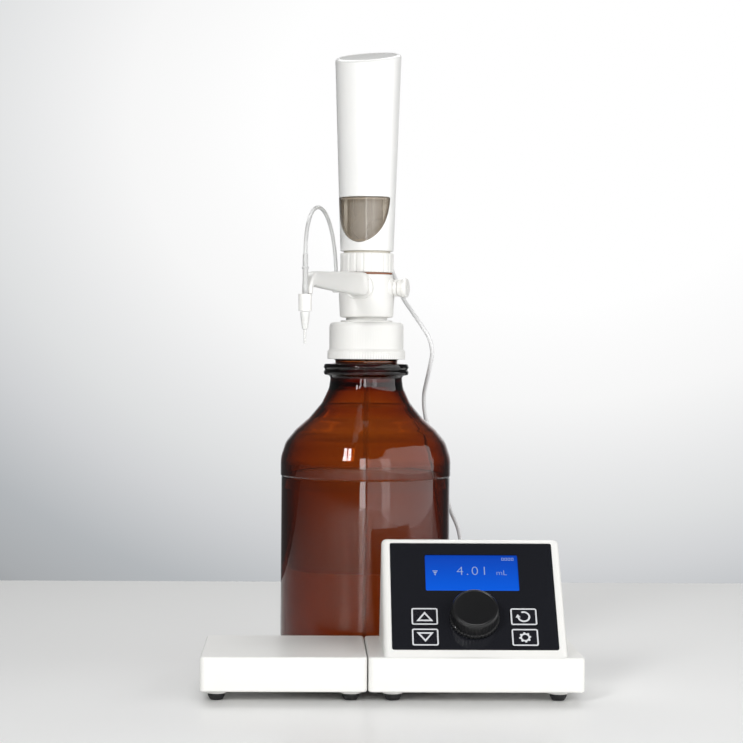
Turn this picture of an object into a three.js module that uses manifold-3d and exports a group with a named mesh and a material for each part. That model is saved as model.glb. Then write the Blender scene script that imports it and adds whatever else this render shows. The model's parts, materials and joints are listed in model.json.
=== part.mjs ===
// Bottle-top titrator: a motor burette head on a reagent bottle, a magnetic stirrer box and a
// control console. Millimetres, +Z up, front towards -Y, origin on the bench under the middle.
import * as THREE from 'three';
import { mergeVertices } from 'three/addons/utils/BufferGeometryUtils.js';
import Module from 'manifold-3d';

const wasm = await Module();
wasm.setup();

// ---------------------------------------------------------------- driving dimensions
const gap = 0.3; // between pieces that touch
const stand = { depth: 100, boxHeight: 21, footHeight: 6, wall: 3, roof: 3, corner: 4, edge: 2.2, slit: 0.7 };
const plate = { thickness: 2.5, bossRadius: 6.25, bossHeight: 2 };
const foot = { radius: 5.2, soleRadius: 4.2, insetY: 12 };
const stirrer = { width: 100.3, footInset: 9.7, motorRadius: 15, motorHeight: 8, rotorRadius: 25,
  rotorLift: 2, rotorThickness: 2, shaftRadius: 1.3, magnetLength: 40, magnetWidth: 10,
  magnetThickness: 1.8 };
const consoleBox = { width: 130.2, footInset: 15 };
const housing = { width: 111, shiftX: -0.4, height: 65.2, tilt: 42, frontInset: 2, rearInset: 5,
  topDepth: 5.5, wall: 3, cornerReach: 2.2, sideRadius: 2.5 };
const panel = { sideMargin: 5.1, topMargin: 2.4, lift: 5.4, thickness: 1.7, ledge: 1.2 };
const screen = { width: 57, height: 26.9, fromTop: 22.5, frame: 4.5, depth: 6.1 };
const key = { width: 16.5, height: 12.7, corner: 1.2, proud: 0.4, flange: 1, travel: 0.6, columnX: 30.2 };
const keyRows = [24.05, 8.9];
const knob = { radius: 15.3, faceRadius: 13.9, height: 12, s: 22.5, shaftRadius: 3 };
const board = { sideMargin: 6.4, bottom: 6, fromTop: 5.94, thickness: 1.6, depth: 6.4 };
const rearCover = { sideMargin: 7.5, low: 12, topMargin: 8.42, thickness: 2, ledge: 3 };
const louvre = { length: 40, width: 2, pitch: 6 };
const rear = { z: 16.5, socketX: 96, inletX: 72, rockerX: 48 };
const inlet = { width: 20, height: 12, flange: 2, depth: 9, pinX: 4, pinRadius: 1.2 };
const socket = { radius: 5.2, flangeRadius: 7.2, boreRadius: 3.6, depth: 9 };
const rocker = { width: 13, height: 8.4, reach: 3, pivotInset: 2.5, restTilt: 11 };
const bottle = { x: -13, gapY: 8, radius: 57, neckInner: 18.3, mouthZ: 220.7, threadRadius: 22.3 };
const cap = { radius: 24.9, rimRadius: 26.1, bottomZ: 204.3, topZ: 229, roofZ: 225.3, holeRadius: 14.3,
  raise: 1.2, bossRadius: 17.4 };
const washer = { bottomZ: 223.8, thickness: 1.2 };
const block = { topZ: 260.9, bottomZ: 232.1, neckRadius: 13.8, flangeRadius: 19.5, flangeThickness: 2.5,
  swell: 0.8, waistZ: 247, portZ: 252, spigotWall: 1.85, spigotTop: 268, pocketZ: 258.7 };
const dipTube = { radius: 1.9, bore: 1.1, bottomZ: 12, topZ: 229.8 };
const valve = { riserRadius: 1.6, inletRadius: 3.2, inletZ: 236, inletTop: 243, inletBall: 2.5,
  inletBallZ: 238.4, passageRadius: 1.1, passageZ: 246.5, outletX: 9, outletRadius: 3,
  outletZ: 248, outletTop: 254, outletBall: 2.3, outletBallZ: 250.4, outletBore: 1.3 };
const head = { turn: -18.4, bottomZ: 276.6, topZ: 407.25, slant: 14.2, flare: 0.0336, wall: 2, clearance: 0.2,
  roof: 3.6, rim: 2.99, insetDepth: 1.8 };
const windowCut = { topZ: 312.5, tipZ: 282, halfAngle: 69.4, fullness: 0.65, thickness: 1.4 };
const nut = { bottomZ: 262.3, topZ: 275.2, clearance: 0.65 };
const cylinder = { radius: 13, bore: 11.5, bottomZ: 259, topZ: 316, clearance: 0.35 };
const piston = { sealZ: 262, sealHeight: 6, rodRadius: 2.5, tubeRadius: 3.75, tubeZ: 301, topZ: 328,
  stroke: 24, screwRadius: 2.4 };
const driveNut = { height: 7.7, clearance: 1.85, tabWidth: 4.4 };
const chassis = { bottomZ: 268.4, collarTop: 281, plateZ: 363, plateThickness: 3, wall: 2.35,
  columnWidth: 10 };
const driveBoard = { width: 18, thickness: 1.6, clearance: 0.5 };
const motor = { radius: 14, height: 25.6 };
const arm = { reach: 130, width: 8, rootTop: 262.7, rootBottom: 245.1, topRoot: 261.3, topTip: 258.6,
  bottomRoot: 246.2, bottomTip: 250.8, endRadius: 4.4 };
const nozzle = { radius: 4.15, collarTop: 245.1, collarBottom: 234.4, coneTop: 2.9, coneBottom: 1.85,
  coneZ: 223.7, tipRadius: 0.8, tipZ: 214.3, boreRadius: 0.45 };
const sleeve = { radius: 1.65, bore: 1, bottomZ: 236, topZ: 269.6, beadZ: 261, beadRadius: 2.2 };
const hose = { radius: 1.2, elbowRadius: 2.6, elbowTop: 255, handle: 51.5 };
const vent = { stubRadius: 5.7, stubEnd: 22, capRadius: 6.6, capEnd: 28.6 };
const gland = { z: 281, radius: 4.4, neckRadius: 3.2, tipRadius: 2.2, end: 31 };
const lead = { radius: 1.4 };
const plug = { noseRadius: 3.3, radius: 5, bodyEnd: 4, tipRadius: 2.2, end: 14 };

// ---------------------------------------------------------------- places worked out from the sizes
const widthAll = stirrer.width + stand.slit + consoleBox.width;
const depthAll = stand.depth + bottle.gapY + 2 * bottle.radius;
const frontY = -depthAll / 2;
const rearY = frontY + stand.depth;
const boxMidY = (frontY + rearY) / 2;
const boxTop = stand.footHeight + stand.boxHeight;
const stirrerX = -widthAll / 2 + stirrer.width / 2;
const consoleX = widthAll / 2 - consoleBox.width / 2;
const housingX = consoleX + housing.shiftX;
const bottleY = rearY + bottle.gapY + bottle.radius;
const tilt = THREE.MathUtils.degToRad(housing.tilt);
const housingFrontY = frontY + housing.frontInset;
const housingTopY = housingFrontY + housing.height * Math.tan(tilt);
const housingRearY = rearY - housing.rearInset;
const housingRearTopY = housingTopY + housing.topDepth;
const rearTilt = Math.atan((housingRearY - housingRearTopY) / housing.height);
const panelWidth = housing.width - 2 * panel.sideMargin;
const panelLength = housing.height / Math.cos(tilt) - panel.lift - panel.topMargin;
const screenS = panelLength - screen.fromTop;
const coverWidth = housing.width - 2 * rearCover.sideMargin;
const coverLength = housing.height / Math.cos(rearTilt) - rearCover.low - rearCover.topMargin;
const coverS = rearCover.low + coverLength / 2;
const boreRadius = cylinder.radius + cylinder.clearance;
const spigotRadius = boreRadius + block.spigotWall;
const chassisRadius = boreRadius + chassis.wall;
const headLowRadius = chassisRadius + head.clearance + head.wall;
const waistRadius = headLowRadius + block.swell;
const headRadius = (z) => headLowRadius + head.flare * (z - head.bottomZ);
const insetRadius = headRadius(head.topZ) - head.rim;

// Cord route from the gland to the plug, chosen by hand.
const leadPoints = [
  [-3.12, 83.7, 281], [-1.13, 89.68, 280.2], [1.5, 94, 274], [5.5, 93, 265], [9, 90, 256], [13, 87, 246],
  [18.5, 84, 237.5], [25, 82, 228], [30.5, 81, 219], [32.8, 82, 209.5], [31.5, 86, 199], [30, 94, 190],
  [28.5, 104, 178], [30, 109.3, 164], [36, 107, 144], [41.5, 98, 121], [46.5, 89, 101], [51.5, 79, 88],
  [52.5, 66, 74], [51, 50, 54], [50, 36, 34], [51, 25, 16], [55, 16.5, 4.5], [61.5, 14, 1.6],
  [68, 17, 1.6], [72, 26, 1.6], [72, 40, 1.6], [75.5, 51, 1.6], [84, 56, 1.6], [92.5, 51, 1.6],
  [96, 41, 2.6], [96, 30, 8.5], [96, 21, 14.8], [96, 14.3, 16.5],
];

// ---------------------------------------------------------------- solid helpers
function toSolid(shape) {
  if (!shape.isBufferGeometry) return shape;
  const plain = shape.index ? shape.toNonIndexed() : shape.clone();
  plain.deleteAttribute('normal');
  plain.deleteAttribute('uv');
  const merged = mergeVertices(plain, 1e-4);
  const corners = merged.index.array;
  const build = (turned) => {
    const kept = [];
    for (let i = 0; i < corners.length; i += 3) {
      const [a, b, c] = [corners[i], corners[i + 1], corners[i + 2]];
      if (a !== b && b !== c && c !== a) kept.push(...(turned ? [a, c, b] : [a, b, c]));
    }
    const vertProperties = merged.attributes.position.array;
    return new wasm.Manifold(new wasm.Mesh({ numProp: 3, vertProperties, triVerts: new Uint32Array(kept) }));
  };
  const made = build(false);
  return made.volume() < 0 ? build(true) : made;
}

function toGeometry(solid) {
  const mesh = toSolid(solid).getMesh();
  const geometry = new THREE.BufferGeometry();
  geometry.setAttribute('position', new THREE.BufferAttribute(mesh.vertProperties, 3));
  geometry.setIndex(new THREE.BufferAttribute(mesh.triVerts, 1));
  geometry.computeVertexNormals();
  return geometry;
}

const cut = (body, ...tools) => tools.reduce((left, tool) => left.subtract(toSolid(tool)), toSolid(body));
const join = (body, ...more) => more.reduce((sum, other) => sum.add(toSolid(other)), toSolid(body));
const common = (a, b) => toSolid(a).intersect(toSolid(b));

// A profile of [radius, height] turned about Z, closed on itself when it stays off the axis.
function turned(profile, sides = 24) {
  const points = profile.map(([r, z]) => new THREE.Vector2(r, z));
  const offAxis = profile[0][0] > 0 || profile.at(-1)[0] > 0;
  if (offAxis) points.push(points[0].clone());
  return new THREE.LatheGeometry(points, sides).rotateX(Math.PI / 2);
}
const turnedOnX = (profile, sides) => turned(profile, sides).rotateY(Math.PI / 2);
const turnedOnY = (profile, sides) => turned(profile, sides).rotateX(-Math.PI / 2);
const rod = (radius, low, high, sides = 16) =>
  turned([[0, low], [radius, low], [radius, high], [0, high]], sides);
const ring = (inner, outer, low, high, sides = 32) =>
  turned([[inner, low], [outer, low], [outer, high], [inner, high]], sides);

function roundedRect(width, height, radius) {
  const [x, y] = [width / 2, height / 2];
  const shape = new THREE.Shape();
  shape.moveTo(-x + radius, -y);
  shape.absarc(x - radius, -y + radius, radius, -Math.PI / 2, 0);
  shape.absarc(x - radius, y - radius, radius, 0, Math.PI / 2);
  shape.absarc(-x + radius, y - radius, radius, Math.PI / 2, Math.PI);
  shape.absarc(-x + radius, -y + radius, radius, Math.PI, Math.PI * 1.5);
  return shape;
}

// A shape made solid from height 0 to depth, its outline kept and its two edges rounded.
function slab(shape, depth, edge = 0, curveSegments = 2) {
  return new THREE.ExtrudeGeometry(shape, {
    depth: depth - 2 * edge, bevelEnabled: edge > 0, bevelThickness: edge, bevelSize: edge,
    bevelOffset: -edge, bevelSegments: 1, curveSegments,
  }).translate(0, 0, edge);
}
const roundedBox = (width, depth, height, corner, edge) =>
  slab(roundedRect(width, depth, corner), height, edge);
const box = (x0, x1, y0, y1, z0, z1) => new THREE.BoxGeometry(x1 - x0, y1 - y0, z1 - z0)
  .translate((x0 + x1) / 2, (y0 + y1) / 2, (z0 + z1) / 2);

// An outline of [y, z] points, its corners rounded where a radius follows them, made solid along X.
function sideOutline(points) {
  const shape = new THREE.Shape();
  points.forEach(([y, z, radius = 0], i) => {
    const here = new THREE.Vector2(y, z);
    const before = new THREE.Vector2(...points.at(i - 1)).sub(here).normalize().multiplyScalar(radius);
    const after = new THREE.Vector2(...points[(i + 1) % points.length]).sub(here).normalize()
      .multiplyScalar(radius);
    const [start, end] = [here.clone().add(before), here.clone().add(after)];
    if (i) shape.lineTo(start.x, start.y);
    else shape.moveTo(start.x, start.y);
    if (radius) shape.quadraticCurveTo(here.x, here.y, end.x, end.y);
  });
  return shape;
}
const alongX = new THREE.Matrix4().makeBasis(
  new THREE.Vector3(0, 1, 0), new THREE.Vector3(0, 0, 1), new THREE.Vector3(1, 0, 0));
const sideSlab = (points, width, edge = 0) => slab(sideOutline(points), width, edge)
  .translate(0, 0, -width / 2).applyMatrix4(alongX);
const towardsFront = new THREE.Matrix4().makeBasis(
  new THREE.Vector3(1, 0, 0), new THREE.Vector3(0, 0, 1), new THREE.Vector3(0, -1, 0));

function alongCurve(curve, radius, steps) {
  const section = new THREE.Shape().absarc(0, 0, radius, 0, Math.PI * 2);
  return new THREE.ExtrudeGeometry(section,
    { steps, curveSegments: 4, extrudePath: curve, bevelEnabled: false });
}

// ---------------------------------------------------------------- materials
const material = (color, roughness, metalness = 0, extra = {}) =>
  new THREE.MeshStandardMaterial({ color, roughness, metalness, ...extra });
const whitePlastic = material(0xf4f4f0, 0.45);
const greyPlastic = material(0xa9aaa6, 0.5);
const innerPlastic = material(0x8d8f90, 0.6);
const blackRubber = material(0x1b1b1c, 0.85);
const blackGloss = material(0x141418, 0.15);
const blackSatin = material(0x1d1d20, 0.4);
const keyFace = material(0x1c1d22, 0.35);
const blueScreen = material(0x0a5cf0, 0.3);
const steel = material(0xb9bcc0, 0.3, 0.9);
const motorMetal = material(0x6d7075, 0.4, 0.8);
const boardGreen = material(0x1f6b3c, 0.6);
const amberGlass = material(0x5a2a08, 0.08, 0, { transparent: true, opacity: 0.8 });
const smokedWindow = material(0x6a5440, 0.1, 0, { transparent: true, opacity: 0.6 });
const clearGlass = material(0xdde6ea, 0.05, 0, { transparent: true, opacity: 0.35 });
const fluoropolymer = material(0xe9ebe8, 0.35);

const model = new THREE.Group();
function add(parent, name, shape, look) {
  const mesh = new THREE.Mesh(toGeometry(shape), look);
  mesh.name = name;
  parent.add(mesh);
  return mesh;
}

// A group in the model that stands in the given frame.
function framed(matrix) {
  const group = new THREE.Group();
  group.applyMatrix4(matrix);
  model.add(group);
  return group;
}

// ---------------------------------------------------------------- stand boxes
// A shell open underneath, as wide as asked, with its middle at x.
function boxShell(x, width) {
  const outer = roundedBox(width, stand.depth, stand.boxHeight, stand.corner, stand.edge);
  const inner = roundedBox(width - 2 * stand.wall, stand.depth - 2 * stand.wall,
    stand.boxHeight, stand.corner - 1, 0).translate(0, 0, -stand.roof);
  return cut(outer.translate(x, boxMidY, stand.footHeight), inner.translate(x, boxMidY, stand.footHeight));
}

function footPlaces(x, width, insetX) {
  const [dx, dy] = [width / 2 - insetX, stand.depth / 2 - foot.insetY];
  return [['front_left', -dx, -dy], ['front_right', dx, -dy], ['rear_left', -dx, dy], ['rear_right', dx, dy]]
    .map(([place, px, py]) => [place, x + px, boxMidY + py]);
}

function bottomPlate(x, width, insetX) {
  const flat = roundedBox(width - 2 * stand.wall - 2 * gap, stand.depth - 2 * stand.wall - 2 * gap,
    plate.thickness, stand.corner - 1.5, 0).translate(x, boxMidY, stand.footHeight);
  const bossLow = stand.footHeight - plate.bossHeight;
  const bosses = footPlaces(x, width, insetX).map(([, px, py]) =>
    rod(plate.bossRadius, bossLow, stand.footHeight + 1).translate(px, py, 0));
  return join(flat, ...bosses);
}

function addFeet(owner, x, width, insetX) {
  const top = stand.footHeight - plate.bossHeight;
  const profile = [[0, 0], [foot.soleRadius, 0], [foot.radius, 1], [foot.radius, top], [0, top]];
  for (const [place, px, py] of footPlaces(x, width, insetX)) {
    add(model, `${owner}_foot_${place}`, turned(profile, 24).translate(px, py, 0), blackRubber);
  }
}

function makeStirrer() {
  add(model, 'stirrer_top_shell', boxShell(stirrerX, stirrer.width), whitePlastic);
  add(model, 'stirrer_bottom_plate', bottomPlate(stirrerX, stirrer.width, stirrer.footInset), whitePlastic);
  addFeet('stirrer', stirrerX, stirrer.width, stirrer.footInset);
  const motorLow = stand.footHeight + plate.thickness + gap;
  const motorTop = motorLow + stirrer.motorHeight;
  const rotorLow = motorTop + stirrer.rotorLift;
  const rotorTop = rotorLow + stirrer.rotorThickness;
  const shaftHole = rod(stirrer.shaftRadius + gap, motorLow + 2, motorTop + 1, 16);
  add(model, 'stirrer_motor', cut(rod(stirrer.motorRadius, motorLow, motorTop), shaftHole)
    .translate([stirrerX, boxMidY, 0]), motorMetal);
  const rotor = join(rod(stirrer.rotorRadius, rotorLow, rotorTop, 32), 
    rod(stirrer.shaftRadius, motorLow + 2 + gap, rotorTop, 16));
  add(model, 'stirrer_rotor', rotor.translate([stirrerX, boxMidY, 0]), steel);
  add(model, 'stirrer_magnet', roundedBox(stirrer.magnetLength, stirrer.magnetWidth,
    stirrer.magnetThickness, 1, 0).translate(stirrerX, boxMidY, rotorTop + 0.1), blackSatin);
}

function makeConsoleBox() {
  const wiring = box(housingX - 20, housingX + 20, boxMidY, boxMidY + 24, boxTop - 10, boxTop + 5);
  const inletHole = box(rear.inletX - inlet.width / 2 - gap, rear.inletX + inlet.width / 2 + gap,
    rearY - 10, rearY + 5, rear.z - inlet.height / 2 - gap, rear.z + inlet.height / 2 + gap);
  const socketHole = turnedOnY([[0, rearY - 10], [socket.radius + gap, rearY - 10],
    [socket.radius + gap, rearY + 5], [0, rearY + 5]]).translate(rear.socketX, 0, rear.z);
  const rockerHole = box(rear.rockerX - rocker.width / 2 - gap, rear.rockerX + rocker.width / 2 + gap,
    rearY - 10, rearY + 5, rear.z - rocker.height / 2 - 0.8, rear.z + rocker.height / 2 + 0.8);
  add(model, 'console_base_shell', cut(boxShell(consoleX, consoleBox.width),
    wiring, inletHole, socketHole, rockerHole), whitePlastic);
  add(model, 'console_bottom_plate', bottomPlate(consoleX, consoleBox.width, consoleBox.footInset),
    whitePlastic);
  addFeet('console', consoleX, consoleBox.width, consoleBox.footInset);

  const [w, h] = [inlet.width / 2, inlet.height / 2];
  const inletBody = join(box(-w, w, -inlet.depth, 0.5, -h, h),
    box(-w - inlet.flange, w + inlet.flange, gap, 1.5, -h - 1, h + 1));
  const mouth = box(-w + 2, w - 2, -inlet.depth + 2, 3, -h + 2, h - 2);
  const pin = [[0, -inlet.depth + 1], [inlet.pinRadius, -inlet.depth + 1], [inlet.pinRadius, 0], [0, 0]];
  const pins = [-inlet.pinX, inlet.pinX].map((x) => turnedOnY(pin, 12).translate(x, 0, 0));
  add(model, 'power_inlet', join(cut(inletBody, mouth), ...pins)
    .translate([rear.inletX, rearY, rear.z]), blackSatin);

  const socketOutline = [[socket.boreRadius, -socket.depth], [socket.radius, -socket.depth],
    [socket.radius, gap], [socket.flangeRadius, gap], [socket.flangeRadius, 1.4], [socket.boreRadius, 1.4]];
  add(model, 'lead_socket', turnedOnY(socketOutline, 24).translate(rear.socketX, rearY, rear.z), blackSatin);

  const half = rocker.height / 2;
  const rockerSide = [[-3.5, -half + 0.6], [rocker.reach - 0.7, -half], [rocker.reach - 1.3, 0],
    [rocker.reach, half], [-3.5, half - 0.6]];
  add(model, 'power_rocker', sideSlab(rockerSide, rocker.width)
    .rotateX(THREE.MathUtils.degToRad(-rocker.restTilt / 2))
    .translate(rear.rockerX, rearY - rocker.pivotInset, rear.z), blackSatin);
}

// ---------------------------------------------------------------- console housing and panel
// Local frame on the sloped front: x across, y up the slope from the panel's lower edge, z outwards.
const panelFrame = new THREE.Matrix4().makeRotationX(Math.PI / 2 - tilt).setPosition(
  housingX, housingFrontY + panel.lift * Math.sin(tilt), boxTop + panel.lift * Math.cos(tilt));
// The same on the sloped rear, with x towards the left.
const rearFrame = new THREE.Matrix4().makeBasis(new THREE.Vector3(-1, 0, 0),
  new THREE.Vector3(0, -Math.sin(rearTilt), Math.cos(rearTilt)),
  new THREE.Vector3(0, Math.cos(rearTilt), Math.sin(rearTilt))).setPosition(housingX, housingRearY, boxTop);
const flatPlate = (width, height, radius, y, low, high) =>
  slab(roundedRect(width, height, radius), high - low).translate(0, y, low);

function makeHousing() {
  const below = 4; // the outline runs this far below the bench boxes' top, and is cut there
  const front = (z) => housingFrontY + z * Math.tan(tilt);
  const back = (z) => housingRearY - z * Math.tan(rearTilt);
  const outer = sideSlab([[front(-below), boxTop - below], [back(-below), boxTop - below],
    [back(housing.height), boxTop + housing.height, housing.cornerReach],
    [front(housing.height), boxTop + housing.height, housing.cornerReach]],
    housing.width, housing.sideRadius);
  const [frontWall, backWall] = [housing.wall / Math.cos(tilt), housing.wall / Math.cos(rearTilt)];
  const roof = housing.height - housing.wall;
  const inner = sideSlab([[front(-2 * below) + frontWall, boxTop - 2 * below],
    [back(-2 * below) - backWall, boxTop - 2 * below], [back(roof) - backWall, boxTop + roof],
    [front(roof) + frontWall, boxTop + roof]], housing.width - 2 * housing.wall);
  const under = box(-100, 100, frontY - 20, rearY + 20, boxTop - 30, boxTop);
  const inPlace = (shape) => shape.translate(housingX, 0, 0);
  const mid = panelLength / 2;
  const recess = flatPlate(panelWidth + gap, panelLength + gap, 1.5, mid, -panel.thickness - gap, 5);
  const opening = flatPlate(panelWidth - 2 * panel.ledge, panelLength - 2 * panel.ledge, 1, mid, -8, 1);
  const coverRecess = flatPlate(coverWidth + 2 * gap, coverLength + 2 * gap, 2, coverS,
    -rearCover.thickness - gap, 5);
  const coverOpening = flatPlate(coverWidth - 2 * rearCover.ledge, coverLength - 2 * rearCover.ledge,
    1, coverS, -8, 1);
  const shell = cut(inPlace(outer), inPlace(inner), inPlace(under), recess.applyMatrix4(panelFrame),
    opening.applyMatrix4(panelFrame), coverRecess.applyMatrix4(rearFrame),
    coverOpening.applyMatrix4(rearFrame));
  add(model, 'console_housing', shell, whitePlastic);

  const rearGroup = framed(rearFrame);
  const louvres = [-2, -1, 0, 1, 2].map((i) =>
    flatPlate(louvre.length, louvre.width, 0.9, coverS + louvre.pitch * i, -10, 5));
  add(rearGroup, 'console_rear_cover', cut(flatPlate(coverWidth, coverLength, 2, coverS,
    -rearCover.thickness, 0), ...louvres), whitePlastic);
}

function makePanel() {
  const face = framed(panelFrame);
  const clear = 2 * gap;
  const back = -panel.thickness;
  const keyPlaces = [['key_up', -key.columnX, keyRows[0]], ['key_down', -key.columnX, keyRows[1]],
    ['key_return', key.columnX, keyRows[0]], ['key_settings', key.columnX, keyRows[1]]];
  const keyHoles = keyPlaces.map(([, x, y]) => flatPlate(key.width + clear, key.height + clear,
    key.corner + gap, y, -5, 5).translate(x, 0, 0));
  const bushingRadius = knob.shaftRadius + 1.5;
  const shaftHole = rod(bushingRadius + gap, -5, 5).translate(0, knob.s, 0);
  const screenHole = flatPlate(screen.width + clear, screen.height + clear, 0.8, screenS, -5, 5);
  add(face, 'panel_overlay', cut(flatPlate(panelWidth - gap, panelLength - gap, 1.4, panelLength / 2,
    back, 0), screenHole, shaftHole, ...keyHoles), blackGloss);

  const keyTop = back - 0.5;
  const stemEnd = -board.depth + key.travel + 0.2;
  for (const [name, x, y] of keyPlaces) {
    const button = join(flatPlate(key.width, key.height, key.corner, y, keyTop - 0.1, key.proud),
      flatPlate(key.width + 1.8, key.height + 1.8, key.corner, y, keyTop - key.flange, keyTop),
      rod(2, stemEnd, keyTop - key.flange + 0.1, 16).translate(0, y, 0));
    add(face, name, button.translate([x, 0, 0]), keyFace);
  }

  add(face, 'display_module', join(flatPlate(screen.width, screen.height, 0.6, screenS, -3, -0.4),
    flatPlate(screen.width + 2 * screen.frame, screen.height + 2 * screen.frame, 1, screenS,
      -screen.depth, back - 0.5)), blueScreen);

  const encoderTop = back - 0.6;
  const encoder = cut(join(box(-6.5, 6.5, -6.5, 6.5, -board.depth + 0.2, encoderTop),
    rod(bushingRadius, encoderTop - 0.5, gap)), rod(knob.shaftRadius + gap, -board.depth + 0.7, 5));
  add(face, 'encoder_body', encoder.translate([0, knob.s, 0]), steel);
  add(face, 'encoder_shaft', rod(knob.shaftRadius, -board.depth + 1, knob.height - 3)
    .translate(0, knob.s, 0), steel);
  const knobOutline = [[0, knob.height - 2.6], [knob.shaftRadius + gap, knob.height - 2.6],
    [knob.shaftRadius + gap, 0.6], [knob.radius, 0.6], [knob.radius, 2.4], [knob.radius - 0.8, 3.2],
    [knob.faceRadius, knob.height - 0.9], [knob.faceRadius - 0.9, knob.height], [0, knob.height]];
  add(face, 'control_knob', turned(knobOutline, 28).translate(0, knob.s, 0), blackSatin);
  const boardHalf = panelWidth / 2 - board.sideMargin;
  add(face, 'panel_circuit_board', box(-boardHalf, boardHalf, board.bottom, panelLength - board.fromTop,
    -board.depth - board.thickness, -board.depth), boardGreen);
}

// ---------------------------------------------------------------- bottle, cap and dip tube
const quarter = (cx, cz, radius, from, to, steps) => Array.from({ length: steps + 1 }, (_, i) => {
  const angle = THREE.MathUtils.degToRad(from + ((to - from) * i) / steps);
  return [cx + radius * Math.cos(angle), cz + radius * Math.sin(angle)];
});

function makeBottle() {
  const r = bottle.radius;
  const neck = bottle.neckInner;
  const outside = [[0, 2.6], [r - 19, 2], [r - 14, 0], ...quarter(r - 8, 8, 8, -90, 0, 3), [r, 16],
    [r - 0.7, 18], [r - 0.7, 122], [r, 125], [r - 0.2, 137.5], [r - 0.9, 142], [r - 4.5, 151],
    [r - 10.4, 158], [r - 19, 165], [29.6, 174], [25.8, 181.6], [24.2, 187.6], [23.9, 191.4],
    [27.6, 192.2], [28.6, 193.4], [28.6, 195], [27.9, 196], [28.6, 197], [28.6, 198.5], [27.6, 199.6],
    [neck + 2.5, 200.4], [neck + 2.5, 204], [bottle.threadRadius, 206], [bottle.threadRadius, 217],
    [neck + 3, 218.6], [neck + 3, bottle.mouthZ - 0.6], [neck + 2.4, bottle.mouthZ]];
  const inside = [[neck + 0.5, bottle.mouthZ], [neck, bottle.mouthZ - 0.6], [neck, 190], [21.4, 184],
    [24, 178], [28, 171], [35.6, 163.2], [r - 12.2, 155.8], [r - 6.8, 149.2], [r - 3.3, 141],
    [r - 3.2, 137], [r - 3.2, 14], ...quarter(r - 11.2, 12.5, 8, 0, -90, 3).slice(1), [0, 6]];
  add(model, 'bottle', turned([...outside, ...inside], 28).translate(bottle.x, bottleY, 0), amberGlass);
}

function makeCap() {
  const { radius, rimRadius, bottomZ, topZ, roofZ, holeRadius, bossRadius } = cap;
  const bossTop = topZ + cap.raise;
  const bore = bottle.threadRadius + 0.5;
  const outline = [[bore, bottomZ], [rimRadius, bottomZ], [rimRadius, bottomZ + 5], [radius, bottomZ + 6.5],
    ...quarter(radius - 3, topZ - 3, 3, 0, 90, 3), [bossRadius, topZ], [bossRadius, bossTop - 0.3],
    [bossRadius - 0.3, bossTop], [holeRadius, bossTop], [holeRadius, roofZ], [bore, roofZ]];
  add(model, 'bottle_cap', turned(outline, 32).translate(bottle.x, bottleY, 0), whitePlastic);
  add(model, 'cap_slip_washer',
    ring(holeRadius, bore - 0.5, washer.bottomZ, washer.bottomZ + washer.thickness, 24)
    .translate(bottle.x, bottleY, 0), fluoropolymer);
}

// ---------------------------------------------------------------- valve block and dispensing arm
const flangeZ = bottle.mouthZ + gap;

function makeValveBlock(group) {
  const b = block;
  const body = turned([[0, flangeZ], [b.flangeRadius, flangeZ], [b.flangeRadius, flangeZ + b.flangeThickness],
    [b.neckRadius, flangeZ + b.flangeThickness], [b.neckRadius, b.bottomZ], [waistRadius - 2.8, b.bottomZ],
    [waistRadius - 0.8, b.bottomZ + 2], [waistRadius, b.waistZ], [waistRadius - 1.3, b.topZ - 0.5],
    [waistRadius - 1.8, b.topZ], [spigotRadius, b.topZ], [spigotRadius, b.spigotTop],
    [boreRadius, b.spigotTop], [boreRadius, b.pocketZ], [0, b.pocketZ]], 32);
  const stub = turnedOnX([[0, 10], [vent.stubRadius, 10], [vent.stubRadius, vent.stubEnd], [0, vent.stubEnd]])
    .translate(0, 0, b.portZ);
  const ventBore = turnedOnX([[0, 6], [3, 6], [3, vent.stubEnd + 2], [0, vent.stubEnd + 2]], 20)
    .translate(0, 0, b.portZ);
  const v = valve;
  const tubeBore = rod(dipTube.radius + gap, flangeZ - 2, dipTube.topZ + 0.5, 20);
  const riser = rod(v.riserRadius, dipTube.topZ, b.pocketZ + 1, 20);
  const inletChamber = rod(v.inletRadius, v.inletZ, v.inletTop, 20);
  const drilled = (radius, from, to, sides) =>
    turnedOnX([[0, from], [radius, from], [radius, to], [0, to]], sides);
  const passage = drilled(v.passageRadius, -v.outletX, 0, 12).translate(0, 0, v.passageZ);
  const outletSeat = rod(v.passageRadius, v.passageZ, v.outletZ + 0.5, 12).translate(-v.outletX, 0, 0);
  const outletChamber = rod(v.outletRadius, v.outletZ, v.outletTop, 20).translate(-v.outletX, 0, 0);
  const outletBore = drilled(v.outletBore, -24, -v.outletX, 16).translate(0, 0, b.portZ);
  add(group, 'valve_block', cut(join(body, stub), ventBore, tubeBore, riser, inletChamber, passage,
    outletSeat, outletChamber, outletBore), whitePlastic);
  add(group, 'inlet_valve_ball', new THREE.SphereGeometry(v.inletBall, 12, 8)
    .translate(0, 0, v.inletBallZ), clearGlass);
  add(group, 'outlet_valve_ball', new THREE.SphereGeometry(v.outletBall, 12, 8)
    .translate(-v.outletX, 0, v.outletBallZ), clearGlass);
  add(group, 'suction_tube', ring(dipTube.bore, dipTube.radius, dipTube.bottomZ, dipTube.topZ, 16),
    fluoropolymer);

  const cap = [[0, vent.stubEnd + gap], [vent.capRadius, vent.stubEnd + gap],
    [vent.capRadius, vent.stubEnd + 2.2], [vent.capRadius - 0.7, vent.stubEnd + 2.6],
    [vent.capRadius - 0.7, vent.capEnd - 2], [vent.capRadius - 0.9, vent.capEnd - 1.2],
    [vent.capRadius - 2.4, vent.capEnd], [0, vent.capEnd]];
  add(group, 'vent_cap', turnedOnX(cap, 20).translate(0, 0, b.portZ), whitePlastic);
}

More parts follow.
